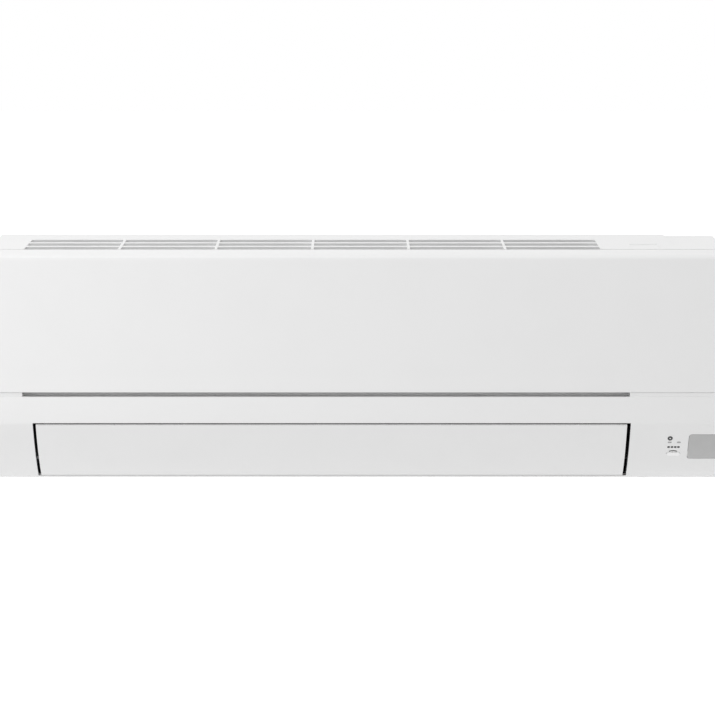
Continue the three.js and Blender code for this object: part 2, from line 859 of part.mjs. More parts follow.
function screw(from, to, shankRadius, headRadius, headHeight) {
  const axis = to.clone().sub(from).normalize();
  const head = bar(to.clone().sub(axis.clone().multiplyScalar(0.2)), to.clone().add(axis.multiplyScalar(headHeight)),
    headRadius, 10);
  return bar(from, to, shankRadius, 8).add(head);
}

// A can with sloped shoulders and a trunnion at each end, on which the rubber rings sit.
function fanMotor() {
  const shoulder = 8;
  const faceDepth = 7;
  const canDepth = 13;
  const profile = [
    [0, 0],
    [trunnionRadius, 0],
    [trunnionRadius, faceDepth],
    [motorRadius - shoulder, faceDepth],
    [motorRadius, canDepth],
    [motorRadius, motorLength - canDepth],
    [motorRadius - shoulder, motorLength - faceDepth],
    [trunnionRadius, motorLength - faceDepth],
    [trunnionRadius, motorLength],
    [0, motorLength],
  ].map(([radius, height]) => new THREE.Vector2(radius, height));
  const body = new THREE.LatheGeometry(profile, 20);
  body.rotateZ(-Math.PI / 2);
  body.translate(motorLeft, -centreOut, fanUp);
  const trunnions = rod(motorLeft - trunnionLength, motorRight + trunnionLength, centreOut, fanUp, trunnionRadius, 20);
  const bore = rod(motorLeft - trunnionLength - 2, motorRight - 4, centreOut, fanUp, shaftRadius + pinClearance, 12);
  return cut(solidOf(body).add(trunnions), bore);
}

const motorShaftGrip = 22;

function motorShaft() {
  return rod(fanRight - motorShaftGrip, motorRight - 6, centreOut, fanUp, shaftRadius, 12);
}

function motorRing(left) {
  const outer = rod(left, left + ringWidth, centreOut, fanUp, motorRingRadius, 20);
  return cut(outer, rod(left - 1, left + ringWidth + 1, centreOut, fanUp, trunnionRadius + pinClearance, 20));
}

// One blade's section in the fan's own plane, curved forward like the real moulded blade.
function fanBladeShape(angle) {
  const tip = fanRadius - 0.6;
  const root = fanRadius - fanBladeDepth;
  const middle = (tip + root) / 2;
  const lead = 9;
  const early = 0.2 * lead;
  const thick = THREE.MathUtils.radToDeg(fanBladeThickness / fanRadius);
  const corners = [
    polar(0, 0, root, angle - thick / 2),
    polar(0, 0, middle, angle + early),
    polar(0, 0, tip, angle + lead),
    polar(0, 0, middle, angle + early + thick),
  ].map(([out, up]) => [out + centreOut, up + fanUp]);
  return polygon(corners);
}

const fanHubRadius = 12;
const fanHubLength = 24;
const fanRingInset = 3;
const stubLength = 16;
const stubFlangeRadius = 9;

// A disc of the fan about its axis, from x on, with a bore.
function fanDisc(x, bore, boreSides) {
  const disc = rod(x, x + fanDiscThickness, centreOut, fanUp, fanRadius, 26);
  return cut(disc, rod(x - 1, x + fanDiscThickness + 1, centreOut, fanUp, bore, boreSides));
}

// End discs, a hub on the motor's shaft, rings between the segments, and the blades through all.
function crossFlowFan() {
  const shaftBore = shaftRadius + pinClearance;
  const hub = cut(rod(fanRight - fanHubLength, fanRight - 1, centreOut, fanUp, fanHubRadius, 16),
    rod(fanRight - fanHubLength - past, fanRight + past, centreOut, fanUp, shaftBore, 12));
  const pieces = [fanDisc(fanRight - fanDiscThickness, shaftBore, 12), hub, fanDisc(fanLeft, shaftBore, 12)];
  const pitch = (fanRight - fanLeft) / (fanDiscs + 1);
  for (let index = 1; index <= fanDiscs; index += 1) {
    const x = fanLeft + pitch * index - fanDiscThickness / 2;
    pieces.push(fanDisc(x, fanRadius - fanBladeDepth - fanRingInset, 16));
  }
  for (let blade = 0; blade < fanBlades; blade += 1) {
    const shape = fanBladeShape(blade * 360 / fanBlades);
    pieces.push(prism(shape, fanLeft + fanDiscThickness / 2, fanRight - fanDiscThickness / 2));
  }
  return wasm.Manifold.union(pieces);
}

// The left shaft, with a flange that bears on the inside of the fan's end disc.
function fanStubShaft() {
  const flangeLeft = fanLeft + fanDiscThickness + touchGap;
  const flangeRight = fanLeft + fanDiscThickness + 3;
  const shank = rod(fanLeft - stubLength, flangeLeft + sink, centreOut, fanUp, shaftRadius, 12);
  return shank.add(rod(flangeLeft, flangeRight, centreOut, fanUp, stubFlangeRadius, 12));
}

function fanBearing() {
  const right = partitionLeft - 2.5;
  const outer = rod(right - bearingLength, right, centreOut, fanUp, bearingRadius, 20);
  return cut(outer, rod(right - bearingLength - 1, right + 1, centreOut, fanUp, shaftRadius + pinClearance, 12));
}

// ---------------------------------------------------------------- heat exchanger

// Corners of a slab whose outer face runs between two points and which is one coil thick inward.
function slabCorners(low, high) {
  const dOut = high[0] - low[0];
  const dUp = high[1] - low[1];
  const length = Math.hypot(dOut, dUp);
  const inward = [-dUp / length * coilThickness, dOut / length * coilThickness];
  return [low, high, [high[0] + inward[0], high[1] + inward[1]], [low[0] + inward[0], low[1] + inward[1]]];
}

const endPlate = 1.2;
const endPlateGrowth = 1.03;
const coilToPipe = endPlate + touchGap;

// A finned slab with its end plates, and the return bends that show at its left end.
function coilSlab(low, high, bends) {
  const corners = slabCorners(low, high);
  const middle = [0, 1].map((axis) => (corners[0][axis] + corners[1][axis] + corners[2][axis] + corners[3][axis]) / 4);
  const shape = polygon(corners);
  const plate = polygon(corners.map(([out, up]) => [middle[0] + (out - middle[0]) * endPlateGrowth,
    middle[1] + (up - middle[1]) * endPlateGrowth]));
  const pieces = [prism(shape, coilLeft, coilRight)];
  pieces.push(prism(plate, coilLeft - endPlate, coilLeft));
  pieces.push(prism(plate, coilRight, coilRight + endPlate));
  const run = new THREE.Vector2(high[0] - low[0], high[1] - low[1]);
  const along = run.clone().normalize();
  const centre = new THREE.Vector2(middle[0], middle[1]);
  const pitch = run.length() / (2 * bends);
  for (let index = 0; index < bends; index += 1) {
    const offset = (2 * index + 1 - bends) * pitch;
    pieces.push(returnBend(centre.clone().add(along.clone().multiplyScalar(offset)), along, pitch));
  }
  return wasm.Manifold.union(pieces);
}

// A U-shaped tube end, from one tube hole to the next.
function returnBend(middle, along, pitch) {
  const from = middle.clone().sub(along.clone().multiplyScalar(pitch / 2));
  const to = middle.clone().add(along.clone().multiplyScalar(pitch / 2));
  const start = coilLeft + 2;
  const reach = coilLeft - endPlate - 4.8;
  const roundness = 0.66;
  const path = new THREE.CurvePath();
  const inner = place(start, from.x, from.y);
  const innerTurn = place(reach, from.x, from.y);
  const outerTurn = place(reach, to.x, to.y);
  const outer = place(start, to.x, to.y);
  path.add(new THREE.LineCurve3(inner, innerTurn));
  const crown = reach - pitch * roundness;
  path.add(new THREE.CubicBezierCurve3(innerTurn, place(crown, from.x, from.y), place(crown, to.x, to.y), outerTurn));
  path.add(new THREE.LineCurve3(outerTurn, outer));
  return tube(path, coilTubeRadius, 8, 6);
}

function tube(path, radius, steps, sides) {
  const ring = new THREE.Shape();
  for (let index = 0; index < sides; index += 1) {
    const angle = index * 2 * Math.PI / sides;
    const x = radius * Math.cos(angle);
    const y = radius * Math.sin(angle);
    if (index === 0) {
      ring.moveTo(x, y);
    } else {
      ring.lineTo(x, y);
    }
  }
  return solidOf(new THREE.ExtrudeGeometry(ring, { steps, extrudePath: path, curveSegments: 1 }));
}

const frontSlab = [polar(filterOut, filterCentreUp, coilRadius, -3), polar(filterOut, filterCentreUp, coilRadius, 23)];
const upperSlab = [polar(filterOut, filterCentreUp, coilRadius, 34), polar(filterOut, filterCentreUp, coilRadius, 66)];
const rearSlab = [polar(filterOut, filterCentreUp, coilRadius, 80), [rearSheet + 16, fanUp + 60]];

// A copper bulb in its clip on the right end plate of the front slab.
function coilSensor() {
  const bulbRadius = 3;
  const bulbLength = 20;
  const clipDepth = 4.4;
  const clipHalf = 5;
  const left = coilRight + coilToPipe;
  const out = (frontSlab[0][0] + frontSlab[1][0]) / 2 - 13;
  const up = (frontSlab[0][1] + frontSlab[1][1]) / 2 + 4;
  const bulb = rod(left, left + bulbLength, out, up, bulbRadius, 10);
  return bulb.add(block(left, left + clipDepth, out - clipHalf, out + clipHalf, up - 4, up + 4));
}

// ---------------------------------------------------------------- pipes and drain

const pipeRun = 30;

// The pipes fall in the middle of the space between the motor and the rear sheet.
const fallOut = (rearSheet + wall + centreOut - motorRadius) / 2;

// A copper pipe from the coil's right end, down behind the fan housing and along the rear recess.
function pipePath(slabPoint, side, out, up) {
  const curve = new THREE.CatmullRomCurve3([
    place(coilRight + coilToPipe, slabPoint[0], slabPoint[1]),
    place(coilRight + 14, slabPoint[0], slabPoint[1]),
    place(side, slabPoint[0] - 6, slabPoint[1] - 12),
    place(side, fallOut, fanUp + 20),
    place(side, fallOut, fanUp - 30),
    place(side, out + 2, up + 22),
    place(side - 14, out, up + 3),
    place(side - pipeRun, out, up),
    place(pipeEnd, out, up),
  ], false, 'catmullrom', 0.2);
  return curve;
}

const gasRoute = { side: coilRight + 34, out: 36, up: 40 };
const liquidRoute = { side: coilRight + 20, out: 20, up: 18 };
const pipeInset = { out: 9, up: -8 };

// Where a pipe leaves the rear slab: a share of the way up its outer face, and inside it.
function rearPoint(share) {
  const [low, high] = [rearSlab[1], rearSlab[0]];
  return [
    THREE.MathUtils.lerp(low[0], high[0], share) + pipeInset.out,
    THREE.MathUtils.lerp(low[1], high[1], share) + pipeInset.up,
  ];
}

function refrigerantPipe(point, route, radius) {
  return tube(pipePath(point, route.side, route.out, route.up), radius, 26, 6);
}

// Hexagonal flare nut on the end of a pipe, open at the far end where the line set screws on.
function flareNut(route, radius) {
  const length = 22;
  const grip = 4;
  const wallAround = 5;
  const right = pipeEnd + grip;
  const left = right - length;
  const body = rod(left, right, route.out, route.up, radius + wallAround, 6);
  const bore = rod(pipeEnd - 2, right + 1, route.out, route.up, radius + touchGap, 8);
  const mouth = rod(left - 1, pipeEnd - past, route.out, route.up, radius + 2, 12);
  return cut(body, bore, mouth);
}

const panLeft = coilLeft - 12;
const panRight = openRight + 18;
const panBottom = vaneTop + vaneTopGap;
const panFrontHeight = 19;
const panTongueHeight = 9;
const panTongueThickness = 3;
const spoutX = panRight - 8;
const spoutOut = unitDepth - 62;
const spoutRadius = 6.5;
const spoutBore = 4.6;
const spoutEndUp = 24;

// A trough under the front slab. Its rear edge is the tongue that strips the air off the fan.
function drainPan() {
  const tongueOut = centreOut + fanRadius + 3;
  const tongueTop = panBottom + panTongueHeight;
  const front = filterOut + filterRadius - filterThickness - 2;
  const shape = polygon([
    [tongueOut, panBottom + 3],
    [tongueOut + 5, panBottom],
    [front, panBottom],
    [front, panBottom + panFrontHeight],
    [front - wall, panBottom + panFrontHeight],
    [front - wall, panBottom + wall],
    [tongueOut + 7, panBottom + wall],
    [tongueOut + 1 + panTongueThickness, tongueTop],
    [tongueOut + 1, tongueTop],
  ]);
  const trough = prism(shape, panLeft, panRight);
  const ends = [panLeft + sink, panRight - wall - sink].map((x) => block(x, x + wall, tongueOut + 2.6, front - 1,
    panBottom + 1, tongueTop + 0.7));
  const hole = bar(place(spoutX, spoutOut, panBottom - 3), place(spoutX, spoutOut, panBottom + 6), 3.4, 10);
  return cut(joined(trough, ...ends), hole);
}

// Drain nozzle from the pan's right end down and back to the rear recess.
function drainSpout() {
  const path = new THREE.CatmullRomCurve3([
    place(spoutX, spoutOut, panBottom - touchGap),
    place(spoutX, spoutOut, panBottom - 8),
    place(spoutX, spoutOut - 14, panBottom - 22),
    place(spoutX, centreOut - 2, spoutEndUp + 16),
    place(spoutX, 44, spoutEndUp),
    place(spoutX, 30, spoutEndUp),
    place(spoutX, rearSheet + 6, spoutEndUp),
  ], false, 'catmullrom', 0.3);
  const bore = bar(place(spoutX, rearSheet, spoutEndUp), place(spoutX, 28, spoutEndUp), spoutBore, 8);
  return cut(tube(path, spoutRadius, 14, 8), bore);
}

// ---------------------------------------------------------------- outlet duct, flap and louvres

const floorStart = scrollPoint(scrollSteps, 0);
const floorRear = new THREE.Vector2(floorStart[0] + 3 * touchGap, floorStart[1]);
const floorFront = new THREE.Vector2(lipOut - 4, lipUp + 5.5);
const floorAlong = floorFront.clone().sub(floorRear).normalize();
const floorUpward = new THREE.Vector2(-floorAlong.y, floorAlong.x);

// Point over the outlet's floor: "along" the air stream from the fan housing, "high" above it.
function overFloor(along, high) {
  return floorRear.clone().add(floorAlong.clone().multiplyScalar(along)).add(floorUpward.clone().multiplyScalar(high));
}

function louvrePlaces() {
  const count = 2 * louvresPerSet;
  const pitch = (vaneRight - vaneLeft) / count;
  return Array.from({ length: count }, (_, index) => vaneLeft + pitch * (index + 0.5));
}

function pivotPoint(x, along, high) {
  const point = overFloor(along, high);
  return place(x, point.x, point.y);
}

const pivot = onSlope(vaneFoot + vanePivotAlong, -vanePivotInset);
const bushRadius = 4.2;

// A shallow mouth under the flap: a floor, two cheeks, and a blank wall beside the fan chamber that
// keeps the air out of the motor's bay.
function outletDuct() {
  const edge = 1;
  const floor = polygon([
    [floorRear.x, floorRear.y],
    [floorRear.x, floorRear.y - wall],
    [floorFront.x - edge, floorFront.y - wall],
    [floorFront.x, floorFront.y - edge],
    [floorFront.x, floorFront.y],
  ]);
  const sheet = prism(floor, openLeft - wall, openRight + wall);
  const inset = wall + touchGap;
  const low = onSlope(9, -inset);
  const high = onSlope(slopeLength - 4, -inset - 0.5);
  const mid = onSlope(slopeLength / 2, bulgeAt(slopeLength / 2) - inset - 0.3);
  const rearFoot = [floorRear.x, floorRear.y - wall];
  const rearBend = [floorRear.x + 2, floorRear.y + 6];
  const rearTop = [centreOut + fanRadius + 10, panBottom - touchGap];
  const cheek = polygon([
    rearFoot,
    [floorFront.x - edge, floorFront.y - wall],
    [low.x, low.y],
    [mid.x, mid.y],
    [high.x, Math.min(high.y, rearTop[1])],
    rearTop,
    rearBend,
  ]);
  const cheeks = [openLeft - wall, openRight].map((x) => prism(cheek, x, x + wall));
  const rearEdge = [rearFoot, rearBend, rearTop];
  const blank = polygon([...rearEdge, ...rearEdge.map(([out, up]) => [out + wall, up]).reverse()]);
  const blankWall = prism(blank, partitionRight + wall / 2 + touchGap, openRight + sink);
  const leftBore = rod(openLeft - past, openLeft + past, pivot.x, pivot.y, bushRadius + pinClearance, 14);
  const rightBore = rod(openRight - past, openRight + past, pivot.x, pivot.y, vanePinRadius + 1, 12);
  const louvreBores = louvrePlaces().map((x) => bar(pivotPoint(x, louvrePivot, -2 * wall - 1),
    pivotPoint(x, louvrePivot, 3), louvrePinRadius + 2 * pinClearance, 6));
  return cut(joined(sheet, ...cheeks, blankWall), leftBore, rightBore, ...louvreBores);
}

// A bush from outside the left cheek, whose collar stops it.
function vaneBush() {
  const collar = 2;
  const right = openLeft - touchGap;
  const cheekFace = openLeft - wall;
  const sleeve = rod(cheekFace - 1, right, pivot.x, pivot.y, bushRadius, 14);
  const rim = rod(cheekFace - 1 - collar, cheekFace - touchGap, pivot.x, pivot.y, bushRadius + 1.5, 14);
  const bore = rod(cheekFace - past, openLeft + past, pivot.x, pivot.y, vanePinRadius + pinClearance, 10);
  return cut(sleeve.add(rim), bore);
}

function horizontalVane() {
  const foot = onSlope(vaneFoot, bulgeAt(vaneFoot));
  const head = onSlope(slopeLength, 0);
  const crown = onSlope((vaneFoot + slopeLength) / 2, 2 * slopeBulge - bulgeAt(vaneFoot) / 2);
  const footBack = onSlope(vaneFoot, bulgeAt(vaneFoot) - vaneEdge);
  const headBack = onSlope(slopeLength - 0.6, -vaneEdge);
  const crownBack = onSlope((vaneFoot + slopeLength) / 2, 2 * slopeBulge - 2 * vaneThickness);
  const section = new THREE.Shape();
  section.moveTo(foot.x, foot.y);
  section.quadraticCurveTo(crown.x, crown.y, head.x, head.y);
  section.lineTo(headBack.x, headBack.y);
  section.quadraticCurveTo(crownBack.x, crownBack.y, footBack.x, footBack.y);
  const blade = prism(section, vaneLeft, vaneRight, 10);
  const root = onSlope(vaneFoot + vanePivotAlong, 0);
  const lugShape = new THREE.Shape();
  const inward = slopeOutward.clone().negate();
  const across = slopeAlong.clone().multiplyScalar(vaneLugRadius);
  const flare = across.clone().multiplyScalar(1.7);
  const start = root.clone().add(flare);
  const end = root.clone().sub(flare);
  const facing = Math.atan2(inward.y, inward.x);
  lugShape.moveTo(start.x, start.y);
  lugShape.lineTo(pivot.x + across.x, pivot.y + across.y);
  lugShape.absarc(pivot.x, pivot.y, vaneLugRadius, facing - Math.PI / 2, facing + Math.PI / 2, false);
  lugShape.lineTo(end.x, end.y);
  const lugs = [vaneLeft, vaneRight - vaneLugThickness].map((x) => prism(lugShape, x, x + vaneLugThickness, 5));
  const pin = rod(openLeft - wall - 1, vaneLeft + 1, pivot.x, pivot.y, vanePinRadius, 10);
  const socket = rod(vaneRight - vaneLugThickness - 1, vaneRight + 1, pivot.x, pivot.y,
    vanePinRadius + pinClearance, 10);
  return cut(joined(blade, ...lugs, pin), socket);
}

const vaneMotorGap = 1.5;
const vaneMotorLeft = openRight + wall + vaneMotorGap;
const vaneMotorRadius = 12;
const vaneMotorLength = 18;
const vaneMotorOffset = 6;
const vaneMotorNeck = 4.5;
const vaneMotorTab = 1;
const vaneShaftGrip = 6;

// A small geared motor: a round can with its output neck off centre and a fixing tab.
function vaneMotor() {
  const centre = onSlope(vaneFoot + vanePivotAlong, -vanePivotInset - vaneMotorOffset);
  const left = vaneMotorLeft;
  const can = rod(left, left + vaneMotorLength, centre.x, centre.y, vaneMotorRadius, 20);
  const neck = rod(left - 1, left + 1, pivot.x, pivot.y, vaneMotorNeck, 12);
  const tab = block(left, left + vaneMotorTab, centre.x - vaneMotorRadius - 5, centre.x + 3,
    centre.y + 2, centre.y + 9);
  const bore = rod(left - 3, left + vaneShaftGrip + 2, pivot.x, pivot.y, vanePinRadius + pinClearance, 10);
  return cut(joined(can, neck, tab), bore);
}

function vaneDriveShaft() {
  const left = vaneRight - vaneLugThickness + 0.3;
  return rod(left, vaneMotorLeft + vaneShaftGrip, pivot.x, pivot.y, vanePinRadius, 10);
}

// A thin blade on two pins: its foot turns in the floor and its crank in the tie bar, in a notch.
function louvreBlade(x) {
  const base = 0.6;
  const corners = [
    overFloor(louvreRear, base),
    overFloor(louvreFront, base),
    overFloor(louvreFront + 2, louvreHeight * 0.6),
    overFloor(louvreFront - 6, louvreHeight),
    overFloor(louvrePivot + 4, louvreHeight),
    overFloor(louvreRear, louvreHeight * 0.55),
  ].map((point) => [point.x, point.y]);
  const half = louvreThickness / 2;
  const blade = prism(polygon(corners), x - half, x + half);
  const notchRear = tieAlong - 3.5;
  const notchHalf = 3;
  const notch = polygon([
    overFloor(notchRear, tieUp - notchHalf),
    overFloor(louvreFront + past, tieUp - notchHalf),
    overFloor(louvreFront + past, tieUp + notchHalf),
    overFloor(notchRear, tieUp + notchHalf),
  ].map((point) => [point.x, point.y]));
  const foot = bar(pivotPoint(x, louvrePivot, -wall - 1), pivotPoint(x, louvrePivot, base + 4), louvrePinRadius, 6);
  const crank = bar(pivotPoint(x, tieAlong, tieUp - 4), pivotPoint(x, tieAlong, tieUp + 4), tiePinRadius, 6);
  return joined(cut(blade, prism(notch, x - half - 1, x + half + 1)), foot, crank);
}

function tieBar(places) {
  const half = tieWidth / 2;
  const low = tieUp - tieHeight / 2;
  const corners = [
    overFloor(tieAlong - half, low),
    overFloor(tieAlong + half, low),
    overFloor(tieAlong + half, low + tieHeight),
    overFloor(tieAlong - half, low + tieHeight),
  ].map((point) => [point.x, point.y]);
  const overhang = 6;
  const strip = prism(polygon(corners), places[0] - overhang, places[places.length - 1] + overhang);
  const holes = places.map((x) => bar(pivotPoint(x, tieAlong, low - 2), pivotPoint(x, tieAlong, low + tieHeight + 2),
    tiePinRadius + pinClearance, 6));
  return cut(strip, ...holes);
}

// ---------------------------------------------------------------- filters

const filterColumns = 3;
const filterRows = 3;
const filterBorder = 7;
const filterRib = 3;
const filterNet = 0.6;
const filterTabHalf = 16;

// A curved frame with a thin net across its cells, and a tab at its foot to pull it by.
function airFilter(left, right) {
  const inner = filterRadius - filterThickness / 2;
  const outer = filterRadius + filterThickness / 2;
  const { bottom, top } = filterAngles;
  const frame = prism(band(filterOut, filterCentreUp, inner, outer, bottom, top), left, right, 9);
  const cell = (right - left - 2 * filterBorder - (filterColumns - 1) * filterRib) / filterColumns;
  const borderTurn = 3;
  const ribTurn = 1.2;
  const sweep = (top - bottom - 2 * borderTurn) / filterRows;
  const pockets = [];
  for (let column = 0; column < filterColumns; column += 1) {
    const x = left + filterBorder + column * (cell + filterRib);
    for (let row = 0; row < filterRows; row += 1) {
      const from = bottom + borderTurn + row * sweep + ribTurn / 2;
      const shape = band(filterOut, filterCentreUp, inner + filterNet, outer + 2, from, from + sweep - ribTurn);
      pockets.push(prism(shape, x, x + cell, 2));
    }
  }
  const middle = (left + right) / 2;
  const tabShape = band(filterOut, filterCentreUp, inner + 0.2, outer - 0.2, bottom - 3, bottom + sink);
  return cut(frame, ...pockets).add(prism(tabShape, middle - filterTabHalf, middle + filterTabHalf, 3));
}

// ---------------------------------------------------------------- electrical box

const postInset = 12;
const postLength = 11;
const postRadius = 3;

// A folded tray, open to the front, with a slot for the wires and four posts for the board.
function electricalBox() {
  const outer = block(boxLeft, boxRight, boxRear, boxFront - boxSheet, boxBottom, boxTop);
  const inner = block(boxLeft + boxSheet, boxRight - boxSheet, boxRear + boxSheet, boxFront, boxBottom + boxSheet,
    boxTop - boxSheet);
  const wireSlot = block(boxLeft + 20, boxLeft + 45, boxRear + 10, boxRear + 25, boxBottom - 1, boxBottom + 4);
  const posts = [];
  for (const x of [boxLeft + postInset, boxRight - postInset]) {
    for (const up of [boxBottom + postInset, boxTop - postInset]) {
      posts.push(bar(place(x, boxRear + 1, up), place(x, boxRear + postLength, up), postRadius, 8));
    }
  }
  return joined(cut(outer, inner, wireSlot), ...posts);
}

function electricalCover() {
  const plate = block(boxLeft, boxRight, boxFront - boxSheet + touchGap, boxFront, boxBottom, boxTop);
  const inset = boxSheet + touchGap + 0.2;
  const rim = inset + boxSheet;
  const lipRearEdge = boxFront - 8;
  const lip = block(boxLeft + inset, boxRight - inset, lipRearEdge, boxFront - 1, boxBottom + inset, boxTop - inset);
  const lipHole = block(boxLeft + rim, boxRight - rim, lipRearEdge - 1, boxFront - boxSheet + touchGap,
    boxBottom + rim, boxTop - rim);
  return plate.add(cut(lip, lipHole));
}

const boardRear = boxRear + postLength + touchGap;

// Rows of parts on the board, spread evenly between the terminals below and the plugs above.
const boardMargin = 6;
const terminalHeight = 20;
const plugHeight = 8;
const plugCount = 3;
const plugWidth = 12;
const plugPitch = 18;
const capacitorRadius = 9;
const capacitorHeight = 30;
const terminalLength = 55;
const terminalDepth = 16;
const terminalBays = 4;
const terminalBay = 10;
const terminalPitch = 13;
const terminalLow = boxBottom + 2 * boardMargin;
const plugLow = boxTop - 3 * boardMargin - plugHeight;

function boardRow(index, count) {
  return THREE.MathUtils.lerp(terminalLow + terminalHeight, plugLow, (index + 0.5) / count);
}

function controlBoard() {
  const board = block(boxLeft + boardMargin, boxRight - boardMargin, boardRear, boardRear + boardThickness,
    boxBottom + boardMargin, boxTop - boardMargin);
  const face = boardRear + boardThickness - sink;
  const lower = boardRow(0, 2);
  const upper = boardRow(1, 2);
  const blockOn = (left, width, height, half, up) => block(boxLeft + left, boxLeft + left + width, face, face + height,
    up - half, up + half);
  const relay = blockOn(14, 20, 17, 8, lower);
  const transformer = blockOn(40, 28, 24, 12, lower);
  const heatSink = blockOn(44, 22, 22, 8, upper);
  const plugs = Array.from({ length: plugCount }, (_, index) => blockOn(14 + plugPitch * index, plugWidth, plugHeight,
    plugHeight / 2, plugLow + plugHeight / 2));
  return joined(board, relay, heatSink, transformer, ...plugs);
}

function mainCapacitor() {
  const face = boardRear + boardThickness + touchGap;
  const up = boardRow(1, 2);
  const x = boxLeft + 24;
  return bar(place(x, face, up), place(x, face + capacitorHeight, up), capacitorRadius, 16);
}

function terminalBlock() {
  const face = boardRear + boardThickness + touchGap;
  const left = boxLeft + 2 * boardMargin;
  const body = block(left, left + terminalLength, face, face + terminalDepth, terminalLow,
    terminalLow + terminalHeight);
  const bays = Array.from({ length: terminalBays }, (_, index) => {
    const bay = left + 3 + terminalPitch * index;
    return block(bay, bay + terminalBay, face + 9, face + terminalDepth + past, terminalLow - 2,
      terminalLow + terminalHeight + 2);
  });
  return cut(body, ...bays);
}

// ---------------------------------------------------------------- installation plate and screws

const beadDepth = 5;
const hookLip = 12;
const hookHold = 1.6;
const hookSheet = 1.4;
const plateHoleColumns = 7;
const plateHoleRadius = 2.5;

// A steel sheet with two pressed beads, three hooks for the unit and a field of screw holes.
function installationPlate() {
  const pieces = [block(-plateHalfWidth, plateHalfWidth, 0, plateThickness, plateBottom, plateTop)];
  const beadSide = plateHalfWidth - 24;
  for (const up of [plateBottom + 34, plateTop - 50]) {
    const root = plateThickness - 0.2;
    const bead = polygon([[root, up - 9], [beadDepth, up - 5], [beadDepth, up + 5], [root, up + 9]]);
    pieces.push(prism(bead, -beadSide, beadSide));
  }
  const rear = rearSheet + wall + hookHold;
  const low = plateTop - 6;
  const hook = polygon([
    [0, plateTop - 1],
    [plateThickness, low],
    [rear + hookSheet, low],
    [rear + hookSheet, plateTop + hookLip],
    [rear, plateTop + hookLip],
    [rear, low + hookSheet],
    [plateThickness, low + hookSheet],
    [plateThickness, plateTop],
  ]);
  for (const x of hookPlaces()) {
    pieces.push(prism(hook, x - hookWidth / 2, x + hookWidth / 2));
  }
  const holeSide = plateHalfWidth - 20;
  const holes = [];
  for (let column = 0; column < plateHoleColumns; column += 1) {
    const x = THREE.MathUtils.lerp(-holeSide, holeSide, column / (plateHoleColumns - 1));
    for (const up of [plateBottom + 14, plateTop - 16]) {
      holes.push(bar(place(x, -2, up), place(x, beadDepth + 2, up), plateHoleRadius, 6));
    }
  }
  return cut(wasm.Manifold.union(pieces), ...holes);
}

function motorScrew(x) {
  const top = place(x, motorScrewOut, fanUp + touchGap + mountWidth + sink);
  const tip = place(x, motorScrewOut, fanUp - 5);
  return screw(tip, top, motorScrewRadius - pinClearance / 2, motorScrewHead, 1.6);
}

function casingScrew(side) {
  const x = side * screwX;
  const screwLength = 5;
  const out = lipOut - screwBack;
  return screw(place(x, out, screwUp + screwLength), place(x, out, screwUp - touchGap), screwRadius, screwHead, 1.8);
}

// ---------------------------------------------------------------- assembly

part('installation_plate', installationPlate(), STEEL);
part('base_frame', baseFrame(), PLASTIC);
part('front_casing', frontCasing(), PLASTIC);
part('front_panel', frontPanel(), PLASTIC);
part('receiver_window', receiverWindow(), LENS);
part('emergency_button', emergencyButton(), PLASTIC);
part('display_board', displayBoard(), BOARD);

part('heat_exchanger_front', coilSlab(...frontSlab, 2), ALUMINIUM);
part('heat_exchanger_upper', coilSlab(...upperSlab, 2), ALUMINIUM);
part('heat_exchanger_rear', coilSlab(...rearSlab, 2), ALUMINIUM);
part('coil_sensor', coilSensor(), COPPER);
part('gas_pipe', refrigerantPipe(rearPoint(0.7), gasRoute, gasPipeRadius), COPPER);
part('liquid_pipe', refrigerantPipe(rearPoint(0.3), liquidRoute, liquidPipeRadius), COPPER);
part('gas_flare_nut', flareNut(gasRoute, gasPipeRadius), BRASS);
part('liquid_flare_nut', flareNut(liquidRoute, liquidPipeRadius), BRASS);
part('drain_pan', drainPan(), INNER);
part('drain_spout', drainSpout(), DARK);

part('cross_flow_fan', crossFlowFan(), DARK);
part('fan_stub_shaft', fanStubShaft(), STEEL);
part('fan_bearing', fanBearing(), RUBBER);
part('fan_motor', fanMotor(), STEEL);
part('motor_shaft', motorShaft(), STEEL);
part('motor_ring_left', motorRing(motorLeft - ringWidth - 0.5), RUBBER);
part('motor_ring_right', motorRing(motorRight + 0.5), RUBBER);
part('motor_clamp', motorClamp(), INNER);

part('outlet_duct', outletDuct(), DARK);
part('horizontal_vane', horizontalVane(), PLASTIC);
part('vane_bush', vaneBush(), DARK);
part('vane_motor', vaneMotor(), STEEL);
part('vane_drive_shaft', vaneDriveShaft(), STEEL);
louvrePlaces().forEach((x, index) => {
  part(`louvre_${index + 1}`, louvreBlade(x), DARK);
});
part('tie_bar_left', tieBar(louvrePlaces().slice(0, louvresPerSet)), DARK);
part('tie_bar_right', tieBar(louvrePlaces().slice(louvresPerSet)), DARK);

part('air_filter_left', airFilter(filterEdges[0], filterEdges[1]), DARK);
part('air_filter_right', airFilter(filterEdges[2], filterEdges[3]), DARK);

part('electrical_box', electricalBox(), STEEL);
part('electrical_cover', electricalCover(), STEEL);
part('control_board', controlBoard(), BOARD);
part('main_capacitor', mainCapacitor(), DARK);
part('terminal_block', terminalBlock(), DARK);
motorScrewPlaces().forEach((x, index) => {
  part(`motor_screw_${index + 1}`, motorScrew(x), STEEL);
});
part('casing_screw_left', casingScrew(-1), STEEL);
part('casing_screw_right', casingScrew(1), STEEL);

export default unit;
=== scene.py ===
"""Looks of a wall-mounted air conditioner's indoor unit, in metres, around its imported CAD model.

+Z is up, the wall is the plane Y = 0 and the front faces -Y. Places on the unit are given in
millimetres along it (X), out from the wall, and above its underside.
"""

import math

import bmesh
import bpy
from mathutils import Matrix, Vector


